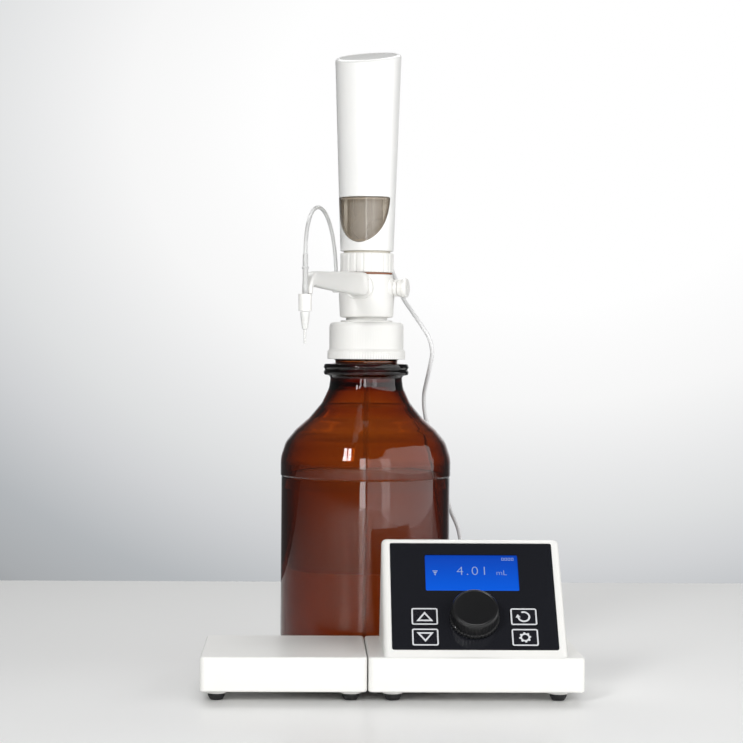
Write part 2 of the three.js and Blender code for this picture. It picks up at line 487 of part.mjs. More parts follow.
// The elbow stands on the left of the block and holds the lower end of the discharge tube.
const elbowX = -(waistRadius + gap + hose.elbowRadius);

function makeDischarge(group) {
  const elbow = join(rod(hose.elbowRadius, block.portZ - 3, hose.elbowTop, 20).translate(elbowX, 0, 0),
    turnedOnX([[0, elbowX], [1, elbowX], [1, elbowX + 5], [0, elbowX + 5]], 12).translate(0, 0, block.portZ));
  add(group, 'tube_elbow', elbow, fluoropolymer);

  const root = waistRadius + 0.4;
  const hook = arm.reach - arm.endRadius;
  const side = [[-root, arm.rootBottom], [-root - 6, arm.rootBottom, 1], [-root - 7, arm.bottomRoot],
    [-hook + 6, arm.bottomTip, 2], [-hook, nozzle.collarTop + 1], [-arm.reach, nozzle.collarTop + 1],
    [-arm.reach, arm.topTip], [-root - 7, arm.topRoot], [-root - 6, arm.rootTop, 1], [-root, arm.rootTop]];
  const end = rod(arm.endRadius, nozzle.collarTop + gap, arm.topTip, 28).translate(0, -arm.reach, 0);
  const bore = rod(sleeve.radius + gap, 200, 300, 20).translate(0, -arm.reach, 0);
  add(group, 'nozzle_arm', cut(join(sideSlab(side, arm.width, 1), end), bore), whitePlastic);
  const collar = turned([[0, nozzle.collarBottom], [nozzle.radius - 0.4, nozzle.collarBottom],
    [nozzle.radius, nozzle.collarBottom + 0.5], [nozzle.radius, nozzle.collarTop],
    [0, nozzle.collarTop]], 28).translate(0, -arm.reach, 0);
  add(group, 'nozzle_collar', cut(collar, bore), whitePlastic);
  const coneTop = nozzle.collarBottom - gap;
  const tip = turned([[nozzle.boreRadius, coneTop], [nozzle.coneTop, coneTop],
    [nozzle.coneTop, coneTop - 1.5], [nozzle.coneBottom, nozzle.coneZ],
    [nozzle.tipRadius, nozzle.coneZ - 0.8], [nozzle.tipRadius, nozzle.tipZ],
    [nozzle.boreRadius, nozzle.tipZ]], 16);
  add(group, 'nozzle_tip', tip.translate(0, -arm.reach, 0), fluoropolymer);
  const tubeSleeve = turned([[sleeve.bore, sleeve.bottomZ], [sleeve.radius, sleeve.bottomZ],
    [sleeve.radius, sleeve.beadZ - 0.7], [sleeve.beadRadius, sleeve.beadZ - 0.7],
    [sleeve.beadRadius, sleeve.beadZ + 0.7], [sleeve.radius, sleeve.beadZ + 0.7],
    [sleeve.radius, sleeve.topZ], [sleeve.bore, sleeve.topZ]], 12);
  add(group, 'tube_sleeve', tubeSleeve.translate(0, -arm.reach, 0), fluoropolymer);

  const start = new THREE.Vector3(elbowX, 0, hose.elbowTop + gap);
  const finish = new THREE.Vector3(0, -arm.reach, sleeve.topZ + gap);
  const up = new THREE.Vector3(0, 0, hose.handle);
  const arch = new THREE.CubicBezierCurve3(start, start.clone().add(up), finish.clone().add(up), finish);
  add(group, 'discharge_tube', alongCurve(arch, hose.radius, 30), fluoropolymer);
}

// ---------------------------------------------------------------- burette head
const slant = THREE.MathUtils.degToRad(head.slant);
const slanted = (shape, depth) => shape.rotateX(slant).translate(0, 0, head.topZ - depth);
const halfSpace = (sign) => box(-60, 60, sign > 0 ? gap / 2 : -60, sign > 0 ? 60 : -gap / 2, 200, 500);

// The window's outline across the front, drawn in by an inset all round.
function windowOutline(inset) {
  const steps = 10;
  const side = Array.from({ length: steps + 1 }, (_, i) => {
    const t = Math.sin((i / steps) * (Math.PI / 2));
    const z = windowCut.topZ + (windowCut.tipZ - windowCut.topZ) * t;
    const angle = THREE.MathUtils.degToRad(windowCut.halfAngle) * (1 - t * t) ** windowCut.fullness;
    return [headRadius(z) * Math.sin(angle), z];
  });
  const drawn = side.map(([x, z]) => [Math.max(0, x - inset), Math.min(Math.max(z, windowCut.tipZ + inset),
    windowCut.topZ - inset)]);
  const outline = [...drawn, ...drawn.slice(0, -1).reverse().map(([x, z]) => [-x, z])];
  return slab(new THREE.Shape(outline.map(([x, z]) => new THREE.Vector2(x, z))), 30)
    .translate(0, 0, 1).applyMatrix4(towardsFront);
}

function makeHeadShells(group) {
  const high = head.topZ + 10;
  const cone = (thinner, low) => turned([[0, low], [headRadius(low) - thinner, low],
    [headRadius(high) - thinner, high], [0, high]], 36);
  const inside = cut(cone(head.wall, head.bottomZ - 1), slanted(box(-60, 60, -60, 60, 0, 60), head.roof));
  const glandBore = gland.neckRadius + gap;
  const glandHole = turnedOnY([[0, 5], [glandBore, 5], [glandBore, 30], [0, 30]], 20)
    .translate(0, 0, gland.z);
  const shell = cut(cone(0, head.bottomZ), slanted(box(-60, 60, -60, 60, 0, 60), 0), inside,
    slanted(rod(insetRadius, 0, 10, 36), head.insetDepth), windowOutline(0), glandHole);
  add(group, 'head_shell_front', common(shell, halfSpace(-1)), whitePlastic);
  add(group, 'head_shell_rear', common(shell, halfSpace(1)), whitePlastic);
  add(group, 'head_top_cap', slanted(rod(insetRadius - gap, gap, head.insetDepth - 0.2, 36),
    head.insetDepth), greyPlastic);

  const pane = cut(cone(gap, head.bottomZ), cone(gap + windowCut.thickness, head.bottomZ - 1));
  add(group, 'head_window', common(pane, windowOutline(gap)), smokedWindow);
  const nutBore = spigotRadius + nut.clearance;
  const nutRadius = headLowRadius;
  add(group, 'coupling_ring', turned([[nutBore, nut.bottomZ], [nutRadius - 0.4, nut.bottomZ],
    [nutRadius, nut.bottomZ + 0.5], [nutRadius, nut.topZ - 0.5], [nutRadius - 0.4, nut.topZ],
    [nutBore, nut.topZ]], 32), whitePlastic);
}

function makeDrive(group) {
  add(group, 'glass_cylinder', ring(cylinder.bore, cylinder.radius, cylinder.bottomZ, cylinder.topZ, 28),
    clearGlass);
  const sealRadius = cylinder.bore - gap;
  const sealTop = piston.sealZ + piston.sealHeight;
  add(group, 'piston_seal', turned([[0, piston.sealZ], [sealRadius - 0.4, piston.sealZ],
    [sealRadius, piston.sealZ + 0.5], [sealRadius, sealTop - 0.5], [sealRadius - 0.4, sealTop],
    [0, sealTop]], 28), fluoropolymer);
  const hollow = piston.screwRadius + 0.45;
  add(group, 'piston_rod', turned([[0, sealTop + gap], [piston.rodRadius, sealTop + gap],
    [piston.rodRadius, piston.tubeZ - 1], [piston.tubeRadius, piston.tubeZ + 1],
    [piston.tubeRadius, piston.topZ], [hollow, piston.topZ], [hollow, piston.tubeZ + 1.5],
    [0, piston.tubeZ + 1.5]], 24), fluoropolymer);

  const nutLow = piston.topZ + gap;
  const nutTop = nutLow + driveNut.height;
  const tabReach = chassisRadius - 1.4;
  const nutRadius = boreRadius - driveNut.clearance;
  const tabs = box(-tabReach, tabReach, -driveNut.tabWidth / 2, driveNut.tabWidth / 2, nutLow, nutTop);
  add(group, 'drive_nut', cut(join(rod(nutRadius, nutLow, nutTop, 32), tabs),
    rod(hollow, nutLow - 1, nutTop + 1, 20)), innerPlastic);
  const motorLow = chassis.plateZ + chassis.plateThickness + gap;
  const screwLow = piston.tubeZ + 1.5 + piston.stroke + 0.5;
  add(group, 'lead_screw', rod(piston.screwRadius, screwLow, motorLow + 5, 20), steel);
  const motorTop = motorLow + motor.height;
  const motorCase = turned([[0, motorLow], [motor.radius - 1, motorLow], [motor.radius, motorLow + 1],
    [motor.radius, motorTop - 1], [motor.radius - 1, motorTop], [0, motorTop]], 24);
  add(group, 'drive_motor', cut(motorCase, rod(hollow, motorLow - 1, motorLow + 6, 20)), motorMetal);

  const inner = boreRadius;
  const collar = ring(inner, chassisRadius, chassis.bottomZ, chassis.collarTop, 32);
  const half = chassis.columnWidth / 2;
  const columns = common(ring(inner, chassisRadius, chassis.collarTop - 1, chassis.plateZ + 1, 32),
    box(-30, 30, -half, half, chassis.collarTop - 1, chassis.plateZ + 1));
  const grooveHalf = driveNut.tabWidth / 2 + gap;
  const groove = box(-tabReach - gap, tabReach + gap, -grooveHalf, grooveHalf, cylinder.topZ + 4,
    chassis.plateZ);
  const plateRadius = headRadius(chassis.plateZ) - head.wall - 2 * gap;
  const plateTop = chassis.plateZ + chassis.plateThickness;
  const motorPlate = ring(hollow + gap, plateRadius, chassis.plateZ, plateTop, 32);
  add(group, 'drive_chassis', join(collar, cut(columns, groove), motorPlate), innerPlastic);
  const boardY = nutRadius + driveBoard.clearance;
  add(group, 'head_circuit_board', box(-driveBoard.width / 2, driveBoard.width / 2, boardY,
    boardY + driveBoard.thickness, piston.topZ - 6, chassis.plateZ - 3), boardGreen);

  const neckStart = chassisRadius + 0.25;
  const face = headRadius(gland.z + gland.radius) + gap;
  add(group, 'lead_gland', turnedOnY([[0, neckStart], [gland.neckRadius, neckStart], [gland.neckRadius, face],
    [gland.radius, face], [gland.radius, face + 2], [gland.neckRadius, face + 2.8],
    [gland.tipRadius, gland.end], [0, gland.end]], 24).translate(0, 0, gland.z), blackSatin);
}

// ---------------------------------------------------------------- signal lead
function makeLead() {
  const points = leadPoints.map((p) => new THREE.Vector3(...p));
  const curve = new THREE.CatmullRomCurve3(points, false, 'centripetal');
  add(model, 'head_lead', alongCurve(curve, lead.radius, 78), fluoropolymer);
  const nose = rearY + 1.4;
  add(model, 'lead_plug', turnedOnY([[0, rearY - 5], [plug.noseRadius, rearY - 5],
    [plug.noseRadius, nose + gap], [plug.radius, nose + gap], [plug.radius, plug.bodyEnd],
    [plug.radius - 1.4, plug.bodyEnd + 1],
    [plug.tipRadius, plug.end], [0, plug.end]], 24).translate(rear.socketX, 0, rear.z), blackSatin);
}

makeStirrer();
makeConsoleBox();
makeHousing();
makePanel();
makeBottle();
makeCap();
const headGroup = new THREE.Group();
headGroup.position.set(bottle.x, bottleY, 0);
headGroup.rotation.z = THREE.MathUtils.degToRad(head.turn);
model.add(headGroup);
makeValveBlock(headGroup);
makeDischarge(headGroup);
makeHeadShells(headGroup);
makeDrive(headGroup);
makeLead();

export default model;
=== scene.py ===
import json
import math

import bmesh
import bpy
from mathutils import Matrix, Vector


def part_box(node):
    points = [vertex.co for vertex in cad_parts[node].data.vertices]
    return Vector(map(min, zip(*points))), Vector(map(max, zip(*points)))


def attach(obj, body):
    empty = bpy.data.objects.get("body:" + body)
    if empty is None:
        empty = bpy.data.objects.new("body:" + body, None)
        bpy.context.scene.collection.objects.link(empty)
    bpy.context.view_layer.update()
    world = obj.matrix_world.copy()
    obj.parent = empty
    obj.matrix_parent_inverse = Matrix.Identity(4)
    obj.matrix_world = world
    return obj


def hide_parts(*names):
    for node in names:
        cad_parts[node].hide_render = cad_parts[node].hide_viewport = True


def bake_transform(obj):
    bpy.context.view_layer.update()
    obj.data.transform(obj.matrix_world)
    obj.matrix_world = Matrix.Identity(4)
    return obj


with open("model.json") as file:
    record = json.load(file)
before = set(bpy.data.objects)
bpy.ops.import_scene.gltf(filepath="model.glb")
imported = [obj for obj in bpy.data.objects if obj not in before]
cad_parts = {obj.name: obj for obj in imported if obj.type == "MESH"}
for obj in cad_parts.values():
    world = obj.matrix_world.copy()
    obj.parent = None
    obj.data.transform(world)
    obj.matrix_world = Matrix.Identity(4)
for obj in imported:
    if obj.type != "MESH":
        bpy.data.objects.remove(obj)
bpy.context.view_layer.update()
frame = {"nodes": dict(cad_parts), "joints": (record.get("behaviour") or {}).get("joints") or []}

mm = 0.001
scene = bpy.context.scene
jointBy = {joint["name"]: joint for joint in frame["joints"]}


def mid(node):
    low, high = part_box(node)
    return (low + high) / 2


bottleLow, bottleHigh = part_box("bottle")
axisPoint = Vector(((bottleLow.x + bottleHigh.x) / 2, (bottleLow.y + bottleHigh.y) / 2, 0))
ventAxis = Vector(jointBy["vent_cap_turn"]["axis"])
headPlace = Matrix.Translation(axisPoint) @ Matrix.Rotation(math.atan2(ventAxis.y, ventAxis.x), 4, "Z")
bottlePlace = Matrix.Translation(axisPoint)

knobJoint = jointBy["knob_spin"]
panelOut = Vector(knobJoint["axis"]).normalized()
panelUp = Vector((1, 0, 0)).cross(panelOut) * -1
panel = {"width": 100.5, "length": 79.6, "thickness": 1.7, "knobS": 22.5, "knobLift": 6.0}
panelOrigin = (Vector(knobJoint["pos_m"]) - panelOut * panel["knobLift"] * mm
               - panelUp * panel["knobS"] * mm)
panelPlace = Matrix.Translation(panelOrigin) @ Matrix(
    ((1, panelUp.x, panelOut.x), (0, panelUp.y, panelOut.y), (0, panelUp.z, panelOut.z))).to_4x4()


camera = {"x": -51.2, "front": 1319.9, "z": 215.0, "yaw": -1.611, "pitch": -0.733, "roll": 0.407,
          "lens": 107.17, "sensor": 36.0}


def makeCamera():
    data = bpy.data.cameras.new("camera")
    data.sensor_width = camera["sensor"]
    data.lens = camera["lens"]
    data.clip_end = 30
    obj = bpy.data.objects.new("camera", data)
    scene.collection.objects.link(obj)
    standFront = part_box("stirrer_top_shell")[0].y
    place = Vector((camera["x"] * mm, standFront - camera["front"] * mm, camera["z"] * mm))
    turn = (Matrix.Rotation(math.radians(camera["yaw"]), 4, "Z")
            @ Matrix.Rotation(math.radians(90 + camera["pitch"]), 4, "X")
            @ Matrix.Rotation(math.radians(camera["roll"]), 4, "Z"))
    obj.matrix_world = Matrix.Translation(place) @ turn
    scene.camera = obj


# Points of [a, b] or [a, b, radius]; a radius turns that corner into an arc.
def roundedPath(points, closed=False, steps=5):
    out = []
    count = len(points)
    for i, point in enumerate(points):
        here = Vector(point[:2])
        radius = point[2] if len(point) > 2 else 0
        if not radius or (not closed and i in (0, count - 1)):
            out.append(here)
            continue
        before = (Vector(points[i - 1][:2]) - here)
        after = (Vector(points[(i + 1) % count][:2]) - here)
        half = before.angle(after) / 2
        reach = min(radius / math.tan(half), before.length * 0.49, after.length * 0.49)
        radius = reach * math.tan(half)
        before.normalize()
        after.normalize()
        centre = here + (before + after).normalized() * (radius / math.sin(half))
        start, end = here + before * reach - centre, here + after * reach - centre
        sweep = start.angle_signed(end)
        for k in range(steps + 1):
            turned = start.copy()
            turned.rotate(Matrix.Rotation(-sweep * k / steps, 2))
            out.append(centre + turned)
    return out


def roundEdges(bm, edges, width, segments):
    bmesh.ops.bevel(bm, geom=edges, offset=width * mm, affect="EDGES", segments=segments, profile=0.5,
                    material=-1)


# Draws the surface in by a depth in mm that is given for each point's radius, height and turn.
def drawIn(bm, depthAt):
    for vert in bm.verts:
        radius = math.hypot(vert.co.x, vert.co.y) / mm
        depth = depthAt(vert, radius, vert.co.z / mm, math.atan2(vert.co.y, vert.co.x))
        if depth:
            vert.co.x *= 1 - depth / radius
            vert.co.y *= 1 - depth / radius


# A profile of [radius, height(, fillet)] in mm, spun once round the axis.
def lathe(points, steps=96, axis="Z", closed=None, arc=5):
    closed = points[0][0] > 0 if closed is None else closed
    path = roundedPath(points, closed, arc)
    bm = bmesh.new()
    verts = [bm.verts.new((max(p.x, 0) * mm, 0, p.y * mm)) for p in path]
    pairs = list(zip(verts, verts[1:])) + ([(verts[-1], verts[0])] if closed else [])
    edges = [bm.edges.new(pair) for pair in pairs]
    bmesh.ops.spin(bm, geom=verts + edges, cent=(0, 0, 0), axis=(0, 0, 1), dvec=(0, 0, 0),
                   angle=math.tau, steps=steps, use_merge=True)
    bmesh.ops.remove_doubles(bm, verts=bm.verts, dist=1e-7)
    bmesh.ops.recalc_face_normals(bm, faces=bm.faces)
    turn = {"Z": Matrix.Identity(4), "X": Matrix.Rotation(math.pi / 2, 4, "Y"),
            "Y": Matrix.Rotation(-math.pi / 2, 4, "X")}[axis]
    bmesh.ops.transform(bm, matrix=turn, verts=bm.verts)
    return bm


# A box between pairs of limits in mm, its upright corners and its flat rims rounded.
def block(x, y, z, corner=0.0, edge=0.0, segments=4):
    bm = bmesh.new()
    bmesh.ops.create_cube(bm, size=1)
    size = Vector((x[1] - x[0], y[1] - y[0], z[1] - z[0])) * mm
    centre = Vector((x[0] + x[1], y[0] + y[1], z[0] + z[1])) * mm / 2
    bmesh.ops.scale(bm, vec=size, verts=bm.verts)
    bmesh.ops.translate(bm, vec=centre, verts=bm.verts)
    if corner:
        upright = [e for e in bm.edges if abs(e.verts[0].co.z - e.verts[1].co.z) > size.z / 2]
        roundEdges(bm, upright, corner, segments + 2)
    if edge:
        rims = [e for e in bm.edges if abs(e.verts[0].co.z - e.verts[1].co.z) < 1e-6
                and abs(abs(e.verts[0].co.z - centre.z) - size.z / 2) < 1e-6]
        roundEdges(bm, rims, edge, segments)
    return bm


# An outline of points in mm made solid between two limits of the third axis.
def prism(outline, low, high, plane="XY", edge=0.0, segments=3):
    bm = bmesh.new()
    face = bm.faces.new([bm.verts.new((p[0] * mm, p[1] * mm, low * mm)) for p in outline])
    made = bmesh.ops.extrude_face_region(bm, geom=[face])
    lifted = [g for g in made["geom"] if isinstance(g, bmesh.types.BMVert)]
    bmesh.ops.translate(bm, vec=(0, 0, (high - low) * mm), verts=lifted)
    bmesh.ops.recalc_face_normals(bm, faces=bm.faces)
    if edge:
        rims = [e for e in bm.edges if abs(e.verts[0].co.z - e.verts[1].co.z) < 1e-7]
        roundEdges(bm, rims, edge, segments)
    turn = {"XY": Matrix.Identity(4),
            "YZ": Matrix(((0, 0, 1, 0), (1, 0, 0, 0), (0, 1, 0, 0), (0, 0, 0, 1))),
            "XZ": Matrix(((1, 0, 0, 0), (0, 0, -1, 0), (0, 1, 0, 0), (0, 0, 0, 1)))}[plane]
    bmesh.ops.transform(bm, matrix=turn, verts=bm.verts)
    return bm


def moved(bm, x=0.0, y=0.0, z=0.0, matrix=None):
    bmesh.ops.transform(bm, matrix=matrix or Matrix.Translation(Vector((x, y, z)) * mm), verts=bm.verts)
    return bm


def looseObject(bm):
    mesh = bpy.data.meshes.new("tool")
    bm.to_mesh(mesh)
    bm.free()
    obj = bpy.data.objects.new("tool", mesh)
    scene.collection.objects.link(obj)
    return obj


# The mesh with the tools cut away, joined on, or kept in common.
def carve(bm, *tools, operation="DIFFERENCE"):
    objects = [looseObject(bm)] + [looseObject(tool) for tool in tools]
    for tool in objects[1:]:
        change = objects[0].modifiers.new("carve", "BOOLEAN")
        change.operation = operation
        change.solver = "EXACT"
        change.object = tool
    bpy.context.view_layer.update()
    made = bpy.data.meshes.new_from_object(objects[0].evaluated_get(bpy.context.evaluated_depsgraph_get()))
    out = bmesh.new()
    out.from_mesh(made)
    bpy.data.meshes.remove(made)
    for obj in objects:
        bpy.data.meshes.remove(obj.data)
    return out


# Several meshes in one, each part closed by itself.
def merge(*parts):
    out = bmesh.new()
    for part in parts:
        mesh = bpy.data.meshes.new("part")
        part.to_mesh(mesh)
        part.free()
        out.from_mesh(mesh)
        bpy.data.meshes.remove(mesh)
    return out


# Makes the object from a mesh, gives it its finish, and lets it ride on a body.
def piece(name, bm, look, body, stands=(), place=None, sharp=35, soften=0.0, weighted=False):
    if place is not None:
        bmesh.ops.transform(bm, matrix=place, verts=bm.verts)
    bmesh.ops.remove_doubles(bm, verts=bm.verts, dist=1e-7)
    bmesh.ops.recalc_face_normals(bm, faces=bm.faces)
    mesh = bpy.data.meshes.new(name)
    bm.to_mesh(mesh)
    bm.free()
    mesh.shade_smooth()
    mesh.set_sharp_from_angle(angle=math.radians(sharp))
    mesh.materials.append(looks[look])
    obj = bpy.data.objects.new(name, mesh)
    scene.collection.objects.link(obj)
    if soften:
        round_ = obj.modifiers.new("soften", "BEVEL")
        round_.width = soften * mm
        round_.segments = 3
        round_.limit_method = "ANGLE"
        round_.angle_limit = math.radians(40)
        round_.harden_normals = False
    if soften or weighted:
        obj.modifiers.new("evenShading", "WEIGHTED_NORMAL").keep_sharp = True
    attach(obj, body)
    if stands:
        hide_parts(*stands)
    return obj


def headPiece(name, bm, look, stands=(), body="head", **more):
    return piece(name, bm, look, body, stands, place=headPlace, **more)


def panelPiece(name, bm, look, body, stands=(), **more):
    return piece(name, bm, look, body, stands, place=panelPlace, **more)


slotOf = {}
looks = {}


def setInputs(node, values):
    for name, value in values.items():
        node.inputs[name].default_value = value


def addNode(tree, kind, values=None, group=None):
    node = tree.nodes.new("ShaderNode" + kind)
    if group:
        node.node_tree = group
    setInputs(node, values or {})
    return node


def addNoise(tree, values):
    noise = addNode(tree, "TexNoise", values)
    tree.links.new(addNode(tree, "TexCoord").outputs["Object"], noise.inputs["Vector"])
    return noise


def addMath(tree, operation, a, b):
    node = addNode(tree, "Math")
    node.operation = operation
    for socket, value in zip(node.inputs, (a, b)):
        if isinstance(value, (int, float)):
            socket.default_value = value
        else:
            tree.links.new(value, socket)
    return node.outputs[0]


def nodeGroup(name, inputs, outputs):
    group = bpy.data.node_groups.new(name, "ShaderNodeTree")
    for label, default in inputs.items():
        kind = "NodeSocketColor" if isinstance(default, tuple) else "NodeSocketFloat"
        group.interface.new_socket(label, in_out="INPUT", socket_type=kind).default_value = default
    for label in outputs:
        kind = "NodeSocketColor" if label == "Color" else "NodeSocketFloat"
        group.interface.new_socket(label, in_out="OUTPUT", socket_type=kind)
    return group, group.nodes.new("NodeGroupInput").outputs, group.nodes.new("NodeGroupOutput").inputs


# Fine moulded grain: a height for the bump and a roughness that wanders.
def buildMouldGrain():
    inputs = {"Scale": 900.0, "Grain": 0.6, "Roughness": 0.4, "Spread": 0.08}
    group, start, end = nodeGroup("mouldGrain", inputs, ["Height", "Roughness"])
    fine = addNoise(group, {"Detail": 3})
    wide = addNoise(group, {"Scale": 28, "Detail": 4})
    group.links.new(start["Scale"], fine.inputs["Scale"])
    group.links.new(addMath(group, "MULTIPLY", fine.outputs["Fac"], start["Grain"]), end["Height"])
    centred = addMath(group, "SUBTRACT", wide.outputs["Fac"], 0.5)
    spread = addMath(group, "MULTIPLY", centred, start["Spread"])
    fineSpread = addMath(group, "MULTIPLY", addMath(group, "SUBTRACT", fine.outputs["Fac"], 0.5), 0.06)
    rough = addMath(group, "ADD", addMath(group, "ADD", spread, fineSpread), start["Roughness"])
    group.links.new(rough, end["Roughness"])
    return group


# A colour that drifts slightly over the surface, as dye and handling leave it.
def buildToneDrift():
    group, start, end = nodeGroup("toneDrift", {"Color": (0.8, 0.8, 0.8, 1), "Other": (0.7, 0.7, 0.7, 1),
                                                "Scale": 14.0, "Amount": 0.5}, ["Color"])
    noise = addNoise(group, {"Detail": 5, "Roughness": 0.6})
    group.links.new(start["Scale"], noise.inputs["Scale"])
    mixer = addNode(group, "Mix")
    mixer.data_type = "RGBA"
    drift = addMath(group, "MULTIPLY", noise.outputs["Fac"], start["Amount"])
    for source, name in ((drift, "Factor"), (start["Color"], "A"), (start["Other"], "B")):
        group.links.new(source, mixer.inputs[name])
    group.links.new(mixer.outputs["Result"], end["Color"])
    return group


# Long fine scratches round the Z axis, as turned metal has.
def buildBrushedLines():
    inputs = {"Density": 2600.0, "Roughness": 0.3}
    group, start, end = nodeGroup("brushedLines", inputs, ["Height", "Roughness"])
    stretch = addNode(group, "Mapping", {"Scale": (0.04, 0.04, 1.0)})
    noise = addNode(group, "TexNoise", {"Detail": 2})
    group.links.new(addNode(group, "TexCoord").outputs["Object"], stretch.inputs["Vector"])
    group.links.new(stretch.outputs["Vector"], noise.inputs["Vector"])
    group.links.new(start["Density"], noise.inputs["Scale"])
    group.links.new(noise.outputs["Fac"], end["Height"])
    shifted = addMath(group, "MULTIPLY", addMath(group, "SUBTRACT", noise.outputs["Fac"], 0.5), 0.25)
    group.links.new(addMath(group, "ADD", shifted, start["Roughness"]), end["Roughness"])
    return group


grainGroup, toneGroup, brushGroup = buildMouldGrain(), buildToneDrift(), buildBrushedLines()

# color and other are linear; bump is the grain's depth in mm; spread is 0.1 and scale 1200 unless given.
finishes = {
    "whitePlastic": {"slot": "white_plastic", "color": (0.83, 0.825, 0.80), "other": (0.78, 0.77, 0.74),
                     "rough": 0.38, "scale": 1500, "bump": 0.012, "subsurface": 0.04},
    "headPlastic": {"slot": "white_plastic", "color": (0.86, 0.86, 0.845), "other": (0.82, 0.815, 0.79),
                    "rough": 0.30, "spread": 0.08, "scale": 1800, "bump": 0.006, "subsurface": 0.04,
                    "coat": 0.15},
    "greyPlastic": {"slot": "grey_plastic", "color": (0.36, 0.36, 0.345), "other": (0.31, 0.31, 0.30),
                    "rough": 0.45, "scale": 1500, "bump": 0.015},
    "innerPlastic": {"slot": "inner_plastic", "color": (0.66, 0.62, 0.54), "other": (0.56, 0.52, 0.44),
                     "rough": 0.55, "bump": 0.02},
    "rubber": {"slot": "black_rubber", "color": (0.004, 0.004, 0.005), "other": (0.012, 0.012, 0.013),
               "rough": 0.5, "spread": 0.2, "scale": 1000, "bump": 0.03},
    "panelGloss": {"slot": "gloss_panel", "color": (0.009, 0.0095, 0.0125), "other": (0.013, 0.0135, 0.017),
                   "rough": 0.14, "spread": 0.06, "scale": 900, "bump": 0.001, "specular": 0.4},
    "keyFace": {"slot": "key_face", "color": (0.007, 0.007, 0.011), "other": (0.012, 0.012, 0.016),
                "rough": 0.26, "spread": 0.08, "scale": 1400, "bump": 0.004},
    "knobBlack": {"slot": "black_satin", "color": (0.0045, 0.0045, 0.005), "other": (0.010, 0.010, 0.011),
                  "rough": 0.34, "spread": 0.15, "scale": 1300, "bump": 0.012},
    "socketBlack": {"slot": "black_satin", "color": (0.015, 0.015, 0.016), "other": (0.03, 0.03, 0.03),
                    "rough": 0.5, "spread": 0.12, "bump": 0.015},
    "steel": {"slot": "steel", "color": (0.55, 0.56, 0.58), "other": (0.45, 0.46, 0.48), "rough": 0.26,
              "metal": 1.0, "brush": 2600, "bump": 0.004},
    "motorCase": {"slot": "motor_case", "color": (0.30, 0.31, 0.33), "other": (0.22, 0.23, 0.24),
                  "rough": 0.36, "metal": 0.9, "brush": 1800, "bump": 0.006},
    "boardGreen": {"slot": "circuit_board", "color": (0.01, 0.10, 0.035), "other": (0.02, 0.16, 0.06),
                   "rough": 0.4, "spread": 0.2, "scale": 500, "bump": 0.02},
    "softWhite": {"slot": "fluoropolymer", "color": (0.74, 0.74, 0.72), "other": (0.66, 0.67, 0.66),
                  "rough": 0.32, "scale": 1600, "bump": 0.004, "subsurface": 0.12},
    "leadGrey": {"slot": "lead_jacket", "color": (0.80, 0.80, 0.80), "other": (0.70, 0.70, 0.70),
                 "rough": 0.48, "spread": 0.14, "scale": 1400, "bump": 0.008},
    "icon": {"slot": "key_face", "color": (0.66, 0.67, 0.69), "other": (0.58, 0.59, 0.61), "rough": 0.5,
             "scale": 1500, "bump": 0.002},
    "gasket": {"slot": "inner_plastic", "color": (0.34, 0.13, 0.06), "other": (0.26, 0.09, 0.04),
               "rough": 0.6, "spread": 0.15, "bump": 0.01},
    "pistonDark": {"slot": "fluoropolymer", "color": (0.020, 0.017, 0.015), "other": (0.035, 0.03, 0.025),
                   "rough": 0.35, "bump": 0.004},
}


def newLook(name, slot):
    look = bpy.data.materials.new(name)
    look.use_nodes = True
    looks[name], slotOf[name] = look, slot
    return look.node_tree, look.node_tree.nodes["Principled BSDF"]


# The drifting tone, the wandering gloss and the fine grain that every surface has.
def dress(tree, shader, finish, texture, strength, toneScale=14.0):
    tone = addNode(tree, "Group", {}, toneGroup)
    setInputs(tone, {"Color": (*finish["color"], 1), "Other": (*finish["other"], 1), "Scale": toneScale})
    bump = addNode(tree, "Bump", {"Strength": strength, "Distance": finish["bump"] * mm})
    for source, target in ((tone.outputs["Color"], shader.inputs["Base Color"]),
                           (texture.outputs["Roughness"], shader.inputs["Roughness"]),
                           (texture.outputs["Height"], bump.inputs["Height"]),
                           (bump.outputs["Normal"], shader.inputs["Normal"])):
        tree.links.new(source, target)


def surface(name, finish):
    tree, shader = newLook(name, finish["slot"])
    setInputs(shader, {"Metallic": finish.get("metal", 0.0),
                       "Subsurface Weight": finish.get("subsurface", 0.0),
                       "Subsurface Radius": (1.0, 0.9, 0.8), "Subsurface Scale": 0.002,
                       "Coat Weight": finish.get("coat", 0.0), "Coat Roughness": 0.12,
                       "Specular IOR Level": finish.get("specular", 0.5)})
    if "brush" in finish:
        texture = addNode(tree, "Group", {"Density": finish["brush"]}, brushGroup)
    else:
        values = {"Scale": finish.get("scale", 1200), "Spread": finish.get("spread", 0.1)}
        texture = addNode(tree, "Group", values, grainGroup)
    setInputs(texture, {"Roughness": finish["rough"]})
    dress(tree, shader, finish, texture, 0.6)


glasses = {
    "amberGlass": {"slot": "amber_glass", "color": (0.98, 0.96, 0.93), "other": (0.93, 0.90, 0.86),
                   "rough": 0.03, "ior": 1.5, "bump": 0.05, "scale": 22, "clear": 1.0,
                   "depthColor": (0.78, 0.515, 0.0), "density": 990.0},
    "hoseClear": {"slot": "fluoropolymer", "color": (0.88, 0.88, 0.87), "other": (0.80, 0.81, 0.81),
                  "rough": 0.30, "ior": 1.35, "bump": 0.004, "scale": 80, "clear": 0.55},
}


